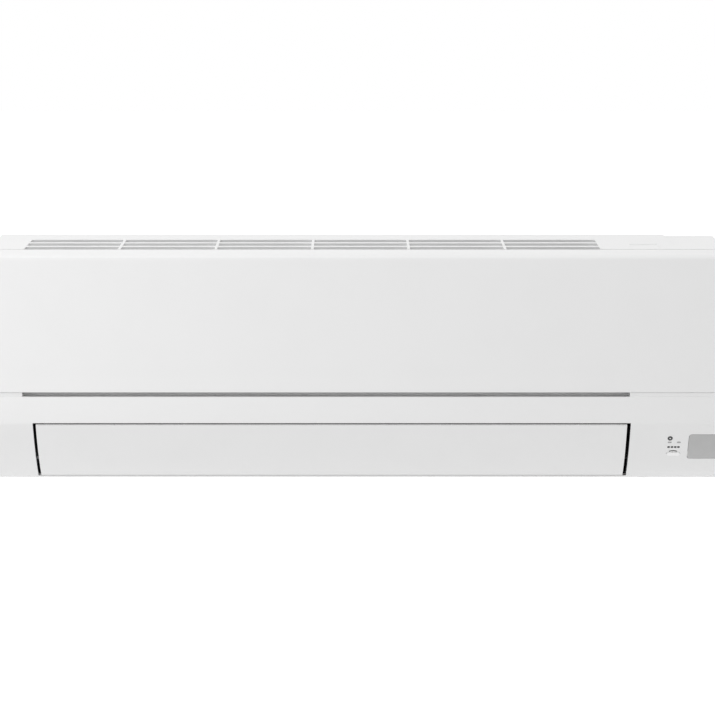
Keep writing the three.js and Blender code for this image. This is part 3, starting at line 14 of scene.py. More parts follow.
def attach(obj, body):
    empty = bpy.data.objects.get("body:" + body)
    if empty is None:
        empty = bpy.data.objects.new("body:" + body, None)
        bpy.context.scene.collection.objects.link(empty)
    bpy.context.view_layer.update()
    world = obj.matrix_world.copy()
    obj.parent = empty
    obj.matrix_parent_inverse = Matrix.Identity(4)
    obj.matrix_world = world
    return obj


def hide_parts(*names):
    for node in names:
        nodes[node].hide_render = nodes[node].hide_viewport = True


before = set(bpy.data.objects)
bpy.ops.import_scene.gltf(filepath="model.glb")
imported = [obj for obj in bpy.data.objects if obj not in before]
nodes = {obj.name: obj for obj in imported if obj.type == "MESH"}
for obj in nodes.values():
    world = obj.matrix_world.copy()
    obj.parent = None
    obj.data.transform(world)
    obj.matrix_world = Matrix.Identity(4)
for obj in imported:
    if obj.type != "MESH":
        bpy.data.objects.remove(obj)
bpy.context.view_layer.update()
scene = bpy.context.scene
scene.view_settings.view_transform = "Standard"

# ---------------------------------------------------------------- camera
# The photograph is taken from straight ahead with a long lens, a little above the unit.

CAMERA_TARGET = Vector((0.0, -0.228, 0.0231))
CAMERA_DISTANCE = 4.03
CAMERA_ELEVATION = math.radians(7.6)
CAMERA_LENS = 180.9
SENSOR_WIDTH = 36.0

camera_data = bpy.data.cameras.new("camera")
camera_data.lens = CAMERA_LENS
camera_data.sensor_width = SENSOR_WIDTH
camera = bpy.data.objects.new("camera", camera_data)
scene.collection.objects.link(camera)
toward_camera = Vector((0.0, -math.cos(CAMERA_ELEVATION), math.sin(CAMERA_ELEVATION)))
camera.location = CAMERA_TARGET + toward_camera * CAMERA_DISTANCE
camera.rotation_euler = (math.pi / 2 - CAMERA_ELEVATION, 0.0, 0.0)
scene.camera = camera

# ---------------------------------------------------------------- studio
# A white sweep, an even sky, and three weak soft boxes: one overhead, one above the left end and
# one beside it, which leave the right end a little darker.

SKY_STRENGTH = 0.783
TOP_PLACE = Vector((-0.2, -0.55, 1.9))
TOP_SIZE = 1.4
TOP_POWER = 3.55
LEFT_PLACE = Vector((-1.3, -0.9, 0.9))
LEFT_SIZE = 1.0
LEFT_POWER = 5.7
SIDE_PLACE = Vector((-1.7, -1.2, -0.1))
SIDE_SIZE = 1.0
SIDE_POWER = 1.95
FLOOR_HEIGHT = -0.62
FLOOR_SIZE = 14.0
FLOOR_GLOW = 0.72
PAPER_GREY = (0.87, 0.87, 0.87, 1.0)


def add(tree, kind, inputs=None, **settings):
    """Adds a node, gives it its settings, and sets or links its inputs."""
    node = tree.nodes.new(kind)
    for name, value in settings.items():
        setattr(node, name, value)
    for name, value in (inputs or {}).items():
        if isinstance(value, bpy.types.NodeSocket):
            tree.links.new(value, node.inputs[name])
        else:
            node.inputs[name].default_value = value
    return node


def seen_directly(tree):
    """1 for rays from the camera and for what gloss and glass show, otherwise 0."""
    path = add(tree, "ShaderNodeLightPath")
    shown = add(
        tree,
        "ShaderNodeMath",
        {0: path.outputs["Is Camera Ray"], 1: path.outputs["Is Glossy Ray"]},
        operation="MAXIMUM",
    )
    return add(
        tree,
        "ShaderNodeMath",
        {0: shown.outputs[0], 1: path.outputs["Is Transmission Ray"]},
        operation="MAXIMUM",
    ).outputs[0]


def soft_box(name, place, size, power):
    """A square lamp that faces the unit."""
    lamp = bpy.data.lights.new(name, "AREA")
    lamp.shape = "SQUARE"
    lamp.size = size
    lamp.energy = power
    box = bpy.data.objects.new(name, lamp)
    scene.collection.objects.link(box)
    box.location = place
    box.rotation_euler = (place - CAMERA_TARGET).to_track_quat("Z", "Y").to_euler()


world = bpy.data.worlds.new("studio")
world.use_nodes = True
scene.world = world
world.node_tree.nodes.clear()
sky_strength = add(
    world.node_tree,
    "ShaderNodeMapRange",
    {"Value": seen_directly(world.node_tree), "To Min": SKY_STRENGTH, "To Max": 1.0},
)
sky = add(
    world.node_tree,
    "ShaderNodeBackground",
    {"Color": (1.0, 1.0, 1.0, 1.0), "Strength": sky_strength.outputs["Result"]},
)
add(world.node_tree, "ShaderNodeOutputWorld", {"Surface": sky.outputs["Background"]})
soft_box("top_box", TOP_PLACE, TOP_SIZE, TOP_POWER)
soft_box("left_box", LEFT_PLACE, LEFT_SIZE, LEFT_POWER)
soft_box("side_box", SIDE_PLACE, SIDE_SIZE, SIDE_POWER)

floor_mesh = bpy.data.meshes.new("floor")
floor_shape = bmesh.new()
bmesh.ops.create_grid(floor_shape, x_segments=1, y_segments=1, size=FLOOR_SIZE)
bmesh.ops.translate(floor_shape, verts=floor_shape.verts, vec=(0, 0, FLOOR_HEIGHT))
floor_shape.to_mesh(floor_mesh)
floor_shape.free()
floor = bpy.data.objects.new("floor", floor_mesh)
scene.collection.objects.link(floor)
floor_paint = bpy.data.materials.new("matt_white_paper")
floor_paint.use_nodes = True
floor_tree = floor_paint.node_tree
floor_tree.nodes.clear()
paper = add(floor_tree, "ShaderNodeBsdfDiffuse", {"Color": PAPER_GREY})
glow_strength = add(
    floor_tree,
    "ShaderNodeMath",
    {0: seen_directly(floor_tree), 1: FLOOR_GLOW},
    operation="MULTIPLY",
)
glow = add(floor_tree, "ShaderNodeEmission", {"Strength": glow_strength.outputs[0]})
floor_sum = add(
    floor_tree, "ShaderNodeAddShader", {0: paper.outputs["BSDF"], 1: glow.outputs["Emission"]}
)
add(floor_tree, "ShaderNodeOutputMaterial", {"Surface": floor_sum.outputs["Shader"]})
floor.data.materials.append(floor_paint)

# ---------------------------------------------------------------- installation plate
# A pressed sheet of zinc plated steel that is screwed to the wall and carries the whole unit
# on its hooks. The plating shows large soft spangles and a dull sheen.

SHARP_ANGLE = math.radians(30)
EDGE_ANGLE = math.radians(40)
EDGE_SEGMENTS = 2
FLAT_ANGLE = math.radians(1)
WELD_DISTANCE = 0.00001


def linear(hex_text):
    """The linear colour of an sRGB hex value."""
    channels = [int(hex_text[i : i + 2], 16) / 255 for i in (1, 3, 5)]
    levels = [c / 12.92 if c <= 0.04045 else ((c + 0.055) / 1.055) ** 2.4 for c in channels]
    return (*levels, 1.0)


def new_finish(name, **constants):
    """A material with its shader, its node tree and the place on the piece in metres."""
    material = bpy.data.materials.new(name)
    material.use_nodes = True
    tree = material.node_tree
    tree.nodes.clear()
    shader = add(tree, "ShaderNodeBsdfPrincipled")
    for socket, value in constants.items():
        shader.inputs[socket.replace("_", " ")].default_value = value
    add(tree, "ShaderNodeOutputMaterial", {"Surface": shader.outputs["BSDF"]})
    place = add(tree, "ShaderNodeTexCoord").outputs["Object"]
    return material, tree, shader, place


def surface(tree, shader, colour, gloss, relief=None):
    """Joins patterns to a shader.

    Colour is a pattern and its sRGB hex values, or a pattern that has colours of its own. Gloss is
    a pattern and the least and most roughness. Relief is a pattern, its strength, and its depth in
    metres.
    """
    pattern, *hex_colours = colour
    if hex_colours:
        ramp = add(tree, "ShaderNodeValToRGB", {"Fac": pattern})
        stops = ramp.color_ramp.elements
        while len(stops) < len(hex_colours):
            stops.new(0.5)
        for index, hex_colour in enumerate(hex_colours):
            stops[index].position = index / (len(hex_colours) - 1)
            stops[index].color = linear(hex_colour)
        pattern = ramp.outputs["Color"]
    tree.links.new(pattern, shader.inputs["Base Color"])
    pattern, smoothest, roughest = gloss
    sheen = add(
        tree, "ShaderNodeMapRange", {"Value": pattern, "To Min": smoothest, "To Max": roughest}
    )
    tree.links.new(sheen.outputs["Result"], shader.inputs["Roughness"])
    if relief:
        pattern, strength, depth = relief
        bump = add(
            tree, "ShaderNodeBump", {"Height": pattern, "Strength": strength, "Distance": depth}
        )
        tree.links.new(bump.outputs["Normal"], shader.inputs["Normal"])


def per_metre(millimetres):
    """The scale of a pattern whose cells are that wide."""
    return 1000.0 / millimetres


def zinc_plated_steel():
    # Zinc plate: bluish grey, spangles about 6 mm across, a little duller in some than in others.
    material, tree, shader, place = new_finish("zinc_plated_steel", Metallic=1.0)
    spangle = add(tree, "ShaderNodeTexVoronoi", {"Vector": place, "Scale": per_metre(6.0)})
    grey = add(tree, "ShaderNodeSeparateColor", {"Color": spangle.outputs["Color"]})
    rolled = add(
        tree, "ShaderNodeTexNoise", {"Vector": place, "Scale": per_metre(1.2), "Detail": 3.0}
    )
    surface(
        tree,
        shader,
        colour=(grey.outputs["Red"], "#b0b4b7", "#b8bcbe", "#c0c3c5"),
        gloss=(grey.outputs["Green"], 0.3, 0.44),
        relief=(rolled.outputs["Fac"], 0.15, 0.0001),
    )
    return material


def soft_shading():
    """Shades faces smooth and keeps every edge steeper than the sharp angle."""
    tree = bpy.data.node_groups.new("shade_smooth_by_angle", "GeometryNodeTree")
    tree.interface.new_socket("Geometry", in_out="INPUT", socket_type="NodeSocketGeometry")
    tree.interface.new_socket("Geometry", in_out="OUTPUT", socket_type="NodeSocketGeometry")
    source = add(tree, "NodeGroupInput")
    angle = add(tree, "GeometryNodeInputMeshEdgeAngle")
    steep = add(
        tree,
        "ShaderNodeMath",
        {0: angle.outputs["Unsigned Angle"], 1: SHARP_ANGLE},
        operation="GREATER_THAN",
    )
    faces = add(
        tree,
        "GeometryNodeSetShadeSmooth",
        {"Geometry": source.outputs[0], "Shade Smooth": True},
        domain="FACE",
    )
    edges = add(
        tree,
        "GeometryNodeSetShadeSmooth",
        {
            "Geometry": faces.outputs[0],
            "Selection": steep.outputs[0],
            "Shade Smooth": False,
        },
        domain="EDGE",
    )
    add(tree, "NodeGroupOutput", {"Geometry": edges.outputs[0]})
    return tree


SHADE_BY_ANGLE = soft_shading()


def soften(piece, edge):
    """Shades a piece smooth by angle, and rounds its edges by that many millimetres."""
    shading = piece.modifiers.new("shade", "NODES")
    shading.node_group = SHADE_BY_ANGLE
    rounding = piece.modifiers.new("edges", "BEVEL")
    rounding.width = edge / 1000.0
    rounding.segments = EDGE_SEGMENTS
    rounding.limit_method = "ANGLE"
    rounding.angle_limit = EDGE_ANGLE
    rounding.harden_normals = True


def dress(name, material, edge=0.4):
    """Cleans a CAD node's flat faces, softens its edges and gives it its finish."""
    piece = nodes[name]
    weld = piece.modifiers.new("weld", "WELD")
    weld.merge_threshold = WELD_DISTANCE
    flat = piece.modifiers.new("flat_faces", "DECIMATE")
    flat.decimate_type = "DISSOLVE"
    flat.angle_limit = FLAT_ANGLE
    soften(piece, edge)
    piece.data.materials.clear()
    piece.data.materials.append(material)


zinc_plate = zinc_plated_steel()
dress("installation_plate", zinc_plate, 0.3)

# ---------------------------------------------------------------- rear frame
# The frame that hangs on the plate carries everything else. It is moulded in the same white ABS
# as the casing, because its rim shows round the back of the unit.


def moulded_plastic(name, hex_colours, roughness, grain, depth):
    # Injection moulded plastic: very even colour, a fine grain from the eroded tool, and faint
    # clouds where the melt has cooled at different speeds.
    material, tree, shader, place = new_finish(name, IOR=1.53)
    cloud = add(
        tree, "ShaderNodeTexNoise", {"Vector": place, "Scale": per_metre(60.0), "Detail": 2.0}
    )
    grains = add(
        tree, "ShaderNodeTexNoise", {"Vector": place, "Scale": per_metre(grain), "Detail": 2.0}
    )
    surface(
        tree,
        shader,
        colour=(cloud.outputs["Fac"], *hex_colours),
        gloss=(grains.outputs["Fac"], roughness - 0.06, roughness + 0.06),
        relief=(grains.outputs["Fac"], 0.25, depth),
    )
    return material


# The outer mouldings' grain is too fine to show, so it is drawn at 0.35 mm. It gives broad soft
# reflections.
satin_white = moulded_plastic(
    "satin_white_abs", ("#eeeeee", "#f0f0f0", "#f1f1f1"), 0.4, 0.35, 0.00002
)
dress("base_frame", satin_white)

# ---------------------------------------------------------------- heat exchanger
# Three slabs of thin aluminium fins on copper tubes, between steel end plates, bent round the
# fan. The return bends stand out at the left end.

COIL_LEFT = -363.1
COIL_RIGHT = 268.8
FIN_PITCH = 2.6
FIN_THICKNESS = 0.3
END_PLATE = 1.2
COIL_TUBE = 3.5
TUBE_PITCH = 21.0
BEND_STRAIGHT = 4.0
BEND_SIDES = 12
BEND_STEPS = 10
HALF_HEIGHT = 140.0
TUBE_ROWS = (6.0, 18.0)
SLABS = {
    "front": ((204.2, 104.5), (193.0, 167.9), (169.4, 163.7), (180.6, 100.3)),
    "upper": ((180.0, 192.0), (119.6, 242.6), (104.1, 224.3), (164.5, 173.6)),
    "rear": ((86.2, 252.8), (26.0, 172.0), (45.2, 157.7), (105.5, 238.5)),
}


def at(x, out, up):
    """A place in metres, from millimetres along the unit, out from the wall and above the foot."""
    return Vector((x, -out, up - HALF_HEIGHT)) / 1000.0


def new_piece(name, shape, body, material):
    """Makes an object of a finished bmesh that rides on a body."""
    mesh = bpy.data.meshes.new(name)
    shape.to_mesh(mesh)
    shape.free()
    piece = bpy.data.objects.new(name, mesh)
    scene.collection.objects.link(piece)
    mesh.materials.append(material)
    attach(piece, body)
    return piece


def corners_of(result):
    """The vertices that an operator has made."""
    return [item for item in result["geom"] if isinstance(item, bmesh.types.BMVert)]


def plate_along(shape, corners, x, thickness):
    """Adds a flat outline of (out, up) corners at x, pulled to a thickness along the unit."""
    rim = [shape.verts.new(at(x, out, up)) for out, up in corners]
    face = shape.faces.new(rim)
    pulled = bmesh.ops.extrude_face_region(shape, geom=[face])
    bmesh.ops.translate(shape, verts=corners_of(pulled), vec=(thickness / 1000.0, 0, 0))


def coated_foil():
    # Fin stock: thin bright foil with a clear water-shedding coat, brushed along the strip.
    material, tree, shader, place = new_finish("coated_aluminium_foil", Metallic=1.0)
    stretched = add(
        tree,
        "ShaderNodeMapping",
        {"Vector": place, "Scale": (1.0, per_metre(25.0), per_metre(4.0))},
    )
    streaks = add(
        tree, "ShaderNodeTexNoise", {"Vector": stretched.outputs[0], "Scale": 1.0, "Detail": 3.0}
    )
    surface(
        tree,
        shader,
        colour=(streaks.outputs["Fac"], "#b4bbc0", "#c9cdd0", "#d6d9da"),
        gloss=(streaks.outputs["Fac"], 0.28, 0.42),
    )
    return material


def drawn_copper():
    # Copper tube: drawn bright, a little darker and duller where it has been handled.
    material, tree, shader, place = new_finish("drawn_copper", Metallic=1.0)
    handled = add(
        tree, "ShaderNodeTexNoise", {"Vector": place, "Scale": per_metre(25.0), "Detail": 4.0}
    )
    surface(
        tree,
        shader,
        colour=(handled.outputs["Fac"], "#a4603e", "#bf7750", "#cf8a62"),
        gloss=(handled.outputs["Fac"], 0.42, 0.2),
    )
    return material


def return_bend(shape, first, second):
    """Adds a U-shaped copper tube end, from one tube hole to the next."""
    start = at(COIL_LEFT, *first)
    end = at(COIL_LEFT, *second)
    reach = Vector((-BEND_STRAIGHT / 1000.0, 0, 0))
    ring = bmesh.ops.create_circle(shape, segments=BEND_SIDES, radius=COIL_TUBE / 1000.0)["verts"]
    turn = Matrix.Translation(start) @ Matrix.Rotation(math.pi / 2, 4, "Y")
    bmesh.ops.transform(shape, matrix=turn, verts=ring)
    rim = list({edge for vert in ring for edge in vert.link_edges})
    out = bmesh.ops.extrude_edge_only(shape, edges=rim)
    bmesh.ops.translate(shape, verts=corners_of(out), vec=reach)
    rim = [item for item in out["geom"] if isinstance(item, bmesh.types.BMEdge)]
    rim = [edge for edge in rim if all(vert in corners_of(out) for vert in edge.verts)]
    turned = bmesh.ops.spin(
        shape,
        geom=rim,
        cent=(start + end) / 2 + reach,
        axis=(end - start).cross(Vector((1, 0, 0))).normalized(),
        angle=math.pi,
        steps=BEND_STEPS,
    )
    last = [item for item in turned["geom_last"] if isinstance(item, bmesh.types.BMEdge)]
    home = bmesh.ops.extrude_edge_only(shape, edges=last)
    bmesh.ops.translate(shape, verts=corners_of(home), vec=-reach)


fin_foil = coated_foil()
copper = drawn_copper()
for slab, corners in SLABS.items():
    fin = bmesh.new()
    plate_along(fin, corners, COIL_LEFT + FIN_PITCH / 2, FIN_THICKNESS)
    bmesh.ops.recalc_face_normals(fin, faces=fin.faces)
    fins = new_piece(slab + "_fins", fin, "chassis", fin_foil)
    stack = fins.modifiers.new("stack", "ARRAY")
    stack.count = int((COIL_RIGHT - COIL_LEFT) / FIN_PITCH)
    stack.use_relative_offset = False
    stack.use_constant_offset = True
    stack.constant_offset_displace = (FIN_PITCH / 1000.0, 0, 0)
    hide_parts("heat_exchanger_" + slab)

    ends = bmesh.new()
    plate_along(ends, corners, COIL_LEFT - END_PLATE, END_PLATE)
    plate_along(ends, corners, COIL_RIGHT, END_PLATE)
    bmesh.ops.recalc_face_normals(ends, faces=ends.faces)
    plates = new_piece(slab + "_end_plates", ends, "chassis", zinc_plate)
    soften(plates, 0.3)

    low, high, high_inner = (Vector(corner) for corner in corners[:3])
    run = (high - low).normalized()
    across = (high_inner - high).normalized()
    tubes = int((high - low).length / TUBE_PITCH)
    bends = bmesh.new()
    for row, inward in enumerate(TUBE_ROWS):
        first = low + run * ((high - low).length - (tubes - 1) * TUBE_PITCH) / 2 + across * inward
        for tube in range(row, tubes - 1, 2):
            hole = first + run * TUBE_PITCH * tube
            return_bend(bends, hole, hole + run * TUBE_PITCH)
    open_ends = [edge for edge in bends.edges if edge.is_boundary]
    bmesh.ops.holes_fill(bends, edges=open_ends)
    bmesh.ops.recalc_face_normals(bends, faces=bends.faces)
    loops = new_piece(slab + "_return_bends", bends, "chassis", copper)
    soften(loops, 0.2)
dress("coil_sensor", copper, 0.2)

# ---------------------------------------------------------------- refrigerant pipes and drain
# Two copper pipes leave the rear slab, fall between the motor and the wall, and end at brass
# flare nuts in the recess. The drain spout is a bent plastic tube under the pan's right end.

FAN_UP = 112.0
PIPE_END = 86.8
PIPE_FALL_OUT = 36.75
PIPES = {
    "gas_pipe": {"from": (77.2, 220.6), "side": 302.8, "out": 36.0, "up": 40.0, "radius": 4.8},
    "liquid_pipe": {"from": (53.1, 188.2), "side": 288.8, "out": 20.0, "up": 18.0, "radius": 3.2},
}
PIPE_STUB = 14.0
FALL_TOP = 20.0
FALL_FOOT = 30.0
PIPE_TENSION = 0.2
SPOUT_X = 317.5
SPOUT_RADIUS = 6.5
SPOUT_WALL = 1.9
SPOUT_TENSION = 0.3
SPOUT_ROUTE = ((166, 88), (166, 80.4), (152, 66.4), (100, 40), (44, 24), (30, 24), (16, 24))


def bent_tube(name, points, tension, radius, material, wall=0.0):
    """A round tube through the points, whose tangents are scaled by the tension."""
    line = bpy.data.curves.new(name, "CURVE")
    line.dimensions = "3D"
    line.bevel_depth = radius / 1000.0
    line.bevel_resolution = 4
    line.resolution_u = 8
    line.use_fill_caps = wall == 0.0
    spline = line.splines.new("BEZIER")
    spline.bezier_points.add(len(points) - 1)
    ends = [2 * points[0] - points[1], *points, 2 * points[-1] - points[-2]]
    for index, knot in enumerate(spline.bezier_points):
        reach = (ends[index + 2] - ends[index]) * tension / 3
        knot.handle_left_type = "FREE"
        knot.handle_right_type = "FREE"
        knot.co = points[index]
        knot.handle_left = points[index] - reach
        knot.handle_right = points[index] + reach
    drawn = bpy.data.objects.new(name, line)
    scene.collection.objects.link(drawn)
    bpy.context.view_layer.update()
    final = drawn.evaluated_get(bpy.context.evaluated_depsgraph_get())
    mesh = bpy.data.meshes.new_from_object(final)
    bpy.data.objects.remove(drawn)
    shape = bmesh.new()
    shape.from_mesh(mesh)
    bpy.data.meshes.remove(mesh)
    bmesh.ops.remove_doubles(shape, verts=shape.verts, dist=WELD_DISTANCE)
    bmesh.ops.recalc_face_normals(shape, faces=shape.faces)
    if wall:
        bmesh.ops.solidify(shape, geom=shape.faces[:], thickness=wall / 1000.0)
    piece = new_piece(name, shape, "chassis", material)
    soften(piece, 0.3)
    return piece


def turned_brass():
    # Brass nut: turned and milled bright, with fine rings from the lathe and a warm dull film.
    material, tree, shader, place = new_finish("turned_brass", Metallic=1.0)
    rings = add(
        tree,
        "ShaderNodeTexWave",
        {"Vector": place, "Scale": per_metre(0.8), "Distortion": 1.0, "Detail": 2.0},
    )
    film = add(
        tree, "ShaderNodeTexNoise", {"Vector": place, "Scale": per_metre(8.0), "Detail": 3.0}
    )
    surface(
        tree,
        shader,
        colour=(film.outputs["Fac"], "#a98a48", "#c3a35c", "#d2b56e"),
        gloss=(film.outputs["Fac"], 0.22, 0.4),
        relief=(rings.outputs["Fac"], 0.2, 0.00005),
    )
    return material


for name, pipe in PIPES.items():
    rear_out, rear_up = pipe["from"]
    side, out, up = pipe["side"], pipe["out"], pipe["up"]
    route = [
        at(COIL_RIGHT + 1.6, rear_out, rear_up),
        at(COIL_RIGHT + PIPE_STUB, rear_out, rear_up),
        at(side, rear_out - 6, rear_up - 12),
        at(side, PIPE_FALL_OUT, FAN_UP + FALL_TOP),
        at(side, PIPE_FALL_OUT, FAN_UP - FALL_FOOT),
        at(side, out + 2, up + 22),
        at(side - 14, out, up + 3),
        at(side - 30, out, up),
        at(PIPE_END, out, up),
    ]
    drawn_pipe = bent_tube(
        name + "_drawn", route, PIPE_TENSION, pipe["radius"], copper
    )
    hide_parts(name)

brass = turned_brass()
dress("gas_flare_nut", brass, 0.4)
dress("liquid_flare_nut", brass, 0.4)

grey_plastic = moulded_plastic(
    "light_grey_matt_abs", ("#d2d2d0", "#dadad8", "#dfdfdd"), 0.55, 0.5, 0.00004
)
dress("drain_pan", grey_plastic, 0.3)

# Dark grey PVC is the own colour of the drain spout and the terminal block. On the duct, louvres,
# tie bars and bush the same dark grey is painted shade.
dark_plastic_and_painted_shade = moulded_plastic(
    "dark_grey_pvc_and_painted_shade", ("#34373a", "#3b3e41", "#404346"), 0.5, 0.6, 0.00004
)
spout = bent_tube(
    "drain_spout_tube",
    [at(SPOUT_X, out, up) for out, up in SPOUT_ROUTE],
    SPOUT_TENSION,
    SPOUT_RADIUS,
    dark_plastic_and_painted_shade,
    SPOUT_WALL,
)
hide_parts("drain_spout")

# ---------------------------------------------------------------- fan
# A cross-flow fan as long as the coil, welded from moulded segments of 35 forward-curved
# blades in glass filled plastic. It runs on a stub shaft at the left and the motor's shaft.

FAN_LEFT = -355.1
FAN_RIGHT = 258.8
FAN_OUT = 102.0
FAN_RADIUS = 46.0
BLADES = 35
BLADE_DEPTH = 11.0
BLADE_THICKNESS = 0.9
BLADE_SWEEP = 12.0
BLADE_STEPS = 4
BLADE_END_GAP = 1.0
TIP_INSET = 0.5
FAN_SEGMENTS = 8
DISC_THICKNESS = 2.4
SHAFT_RADIUS = 4.0
BORE_GAP = 0.3
RING_OVERLAP = 3.0
HUB_RADIUS = 12.0
HUB_LENGTH = 22.0

axle = at(0, FAN_OUT, FAN_UP)
ALONG_UNIT = Vector((1, 0, 0))


def turned_ring(shape, left, right, inner, outer, steps=48):
    """Adds a ring about the fan's axle, spun from its rectangular section."""
    corners = ((left, inner), (right, inner), (right, outer), (left, outer))
    rim = [shape.verts.new(at(x, FAN_OUT, FAN_UP + radius)) for x, radius in corners]
    edges = [shape.edges.new((rim[i - 1], rim[i])) for i in range(4)]
    bmesh.ops.spin(
        shape,
        geom=edges,
        cent=axle,
        axis=ALONG_UNIT,
        angle=math.tau,
        steps=steps,
        use_merge=True,
    )


def glass_filled_plastic():
    # Fan plastic: near black, dull, with short pale fibres just under the moulded skin.
    material, tree, shader, place = new_finish("glass_filled_as_plastic", IOR=1.57)
    stretched = add(
        tree,
        "ShaderNodeMapping",
        {"Vector": place, "Scale": (per_metre(3.0), per_metre(0.6), per_metre(0.6))},
    )
    fibres = add(
        tree, "ShaderNodeTexNoise", {"Vector": stretched.outputs[0], "Scale": 1.0, "Detail": 2.0}
    )
    surface(
        tree,
        shader,
        colour=(fibres.outputs["Fac"], "#2b2e30", "#35383a", "#45494b"),
        gloss=(fibres.outputs["Fac"], 0.5, 0.66),
    )
    return material


fan_plastic = glass_filled_plastic()
blades = bmesh.new()
section = []
for step in range(BLADE_STEPS + 1):
    share = step / BLADE_STEPS
    radius = FAN_RADIUS - TIP_INSET - BLADE_DEPTH * (1 - share)
    swing = math.radians(BLADE_SWEEP * share * share)
    out, up = FAN_OUT + radius * math.cos(swing), FAN_UP + radius * math.sin(swing)
    section.append(blades.verts.new(at(FAN_LEFT + BLADE_END_GAP, out, up)))
edges = [blades.edges.new(pair) for pair in zip(section, section[1:])]
pulled = bmesh.ops.extrude_edge_only(blades, edges=edges)
blade_length = Vector(((FAN_RIGHT - FAN_LEFT - 2 * BLADE_END_GAP) / 1000.0, 0, 0))
bmesh.ops.translate(blades, verts=corners_of(pulled), vec=blade_length)
bmesh.ops.solidify(blades, geom=blades.faces[:], thickness=BLADE_THICKNESS / 1000.0)
bmesh.ops.recalc_face_normals(blades, faces=blades.faces)
bmesh.ops.spin(
    blades,
    geom=blades.verts[:] + blades.edges[:] + blades.faces[:],
    cent=axle,
    axis=ALONG_UNIT,
    angle=math.tau * (BLADES - 1) / BLADES,
    steps=BLADES - 1,
    use_duplicate=True,
)
fan_blades = new_piece("fan_blades", blades, "fan", fan_plastic)
soften(fan_blades, 0.2)
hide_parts("cross_flow_fan")

discs = bmesh.new()
bore = SHAFT_RADIUS + BORE_GAP
turned_ring(discs, FAN_LEFT, FAN_LEFT + DISC_THICKNESS, bore, FAN_RADIUS)
turned_ring(discs, FAN_RIGHT - DISC_THICKNESS, FAN_RIGHT, bore, FAN_RADIUS)
turned_ring(discs, FAN_RIGHT - HUB_LENGTH, FAN_RIGHT - 1, bore, HUB_RADIUS)
for index in range(1, FAN_SEGMENTS):
    middle = FAN_LEFT + (FAN_RIGHT - FAN_LEFT) * index / FAN_SEGMENTS
    turned_ring(
        discs,
        middle - DISC_THICKNESS / 2,
        middle + DISC_THICKNESS / 2,
        FAN_RADIUS - BLADE_DEPTH - RING_OVERLAP,
        FAN_RADIUS,
    )
bmesh.ops.recalc_face_normals(discs, faces=discs.faces)
fan_discs = new_piece("fan_discs", discs, "fan", fan_plastic)
soften(fan_discs, 0.4)


def ground_steel():
    # Shaft: bright carbon steel ground round, so its fine lines run round it.
    material, tree, shader, place = new_finish("ground_carbon_steel", Metallic=1.0)
    stretched = add(
        tree, "ShaderNodeMapping", {"Vector": place, "Scale": (per_metre(0.4), 30.0, 30.0)}
    )
    lines = add(
        tree, "ShaderNodeTexNoise", {"Vector": stretched.outputs[0], "Scale": 1.0, "Detail": 3.0}
    )
    surface(
        tree,
        shader,
        colour=(lines.outputs["Fac"], "#9fa3a6", "#b4b7ba", "#c4c7c9"),
        gloss=(lines.outputs["Fac"], 0.16, 0.3),
    )
    return material


shaft_steel = ground_steel()
for name in ("fan_stub_shaft", "motor_shaft"):
    dress(name, shaft_steel, 0.2)

# ---------------------------------------------------------------- fan motor and its mounts
# The motor is potted in white moulding compound. It sits on two rubber rings between the rear
# frame's saddles and a clamp with two screws, and the left shaft runs in a rubber bearing.


def moulding_compound():
    # Thermoset compound: off-white, stone-like, with fine grey flecks of its mineral filler.
    material, tree, shader, place = new_finish("white_moulding_compound", IOR=1.55)
    flecks = add(tree, "ShaderNodeTexVoronoi", {"Vector": place, "Scale": per_metre(1.5)})
    surface(
        tree,
        shader,
        colour=(flecks.outputs["Distance"], "#c6c6c2", "#dbdbd7", "#e0e0dd"),
        gloss=(flecks.outputs["Distance"], 0.4, 0.55),
    )
    return material


def moulded_rubber():
    # Rubber: near black with a dusty bloom, which is paler in patches.
    material, tree, shader, place = new_finish("moulded_black_rubber", IOR=1.52)
    bloom = add(
        tree, "ShaderNodeTexNoise", {"Vector": place, "Scale": per_metre(5.0), "Detail": 4.0}
    )
    surface(
        tree,
        shader,
        colour=(bloom.outputs["Fac"], "#1d1d1e", "#252526", "#333334"),
        gloss=(bloom.outputs["Fac"], 0.75, 0.95),
    )
    return material


rubber = moulded_rubber()
dress("fan_motor", moulding_compound(), 0.6)
dress("motor_clamp", grey_plastic, 0.3)
for name in ("motor_ring_left", "motor_ring_right", "fan_bearing"):
    dress(name, rubber, 0.3)
for name in ("motor_screw_1", "motor_screw_2"):
    dress(name, zinc_plate, 0.2)

# ---------------------------------------------------------------- outlet duct and louvres
# The duct carries ten louvres on pins. The five of each set hang on one tie bar, so that they
# swing together. All are drawn in matt dark grey, which is painted shade: it makes the open
# mouth look black, as its deep shade does. A foam strip at each end, stuck along the duct's
# rear edge, keeps the air from leaking past the fan.

STRIP_FOOT = (131.2, 60.0)
STRIP_HEAD = (157.9, 87.9)
STRIPS = {
    "foam_strip_left": {"x": -365.5, "length": 5.3, "gap": 0.0, "thickness": 2.5},
    "foam_strip_right": {"x": 264.0, "length": 5.0, "gap": 2.5, "thickness": 1.5},
}


def closed_cell_foam():
    # Sealing foam: black and dull, with open cut cells under a millimetre that leave it pitted.
    material, tree, shader, place = new_finish("closed_cell_foam", IOR=1.5)
    cells = add(tree, "ShaderNodeTexVoronoi", {"Vector": place, "Scale": per_metre(0.8)})
    surface(
        tree,
        shader,
        colour=(cells.outputs["Distance"], "#18191a", "#202122", "#2a2b2c"),
        gloss=(cells.outputs["Distance"], 0.8, 0.95),
        relief=(cells.outputs["Distance"], 0.5, 0.0002),
    )
    return material


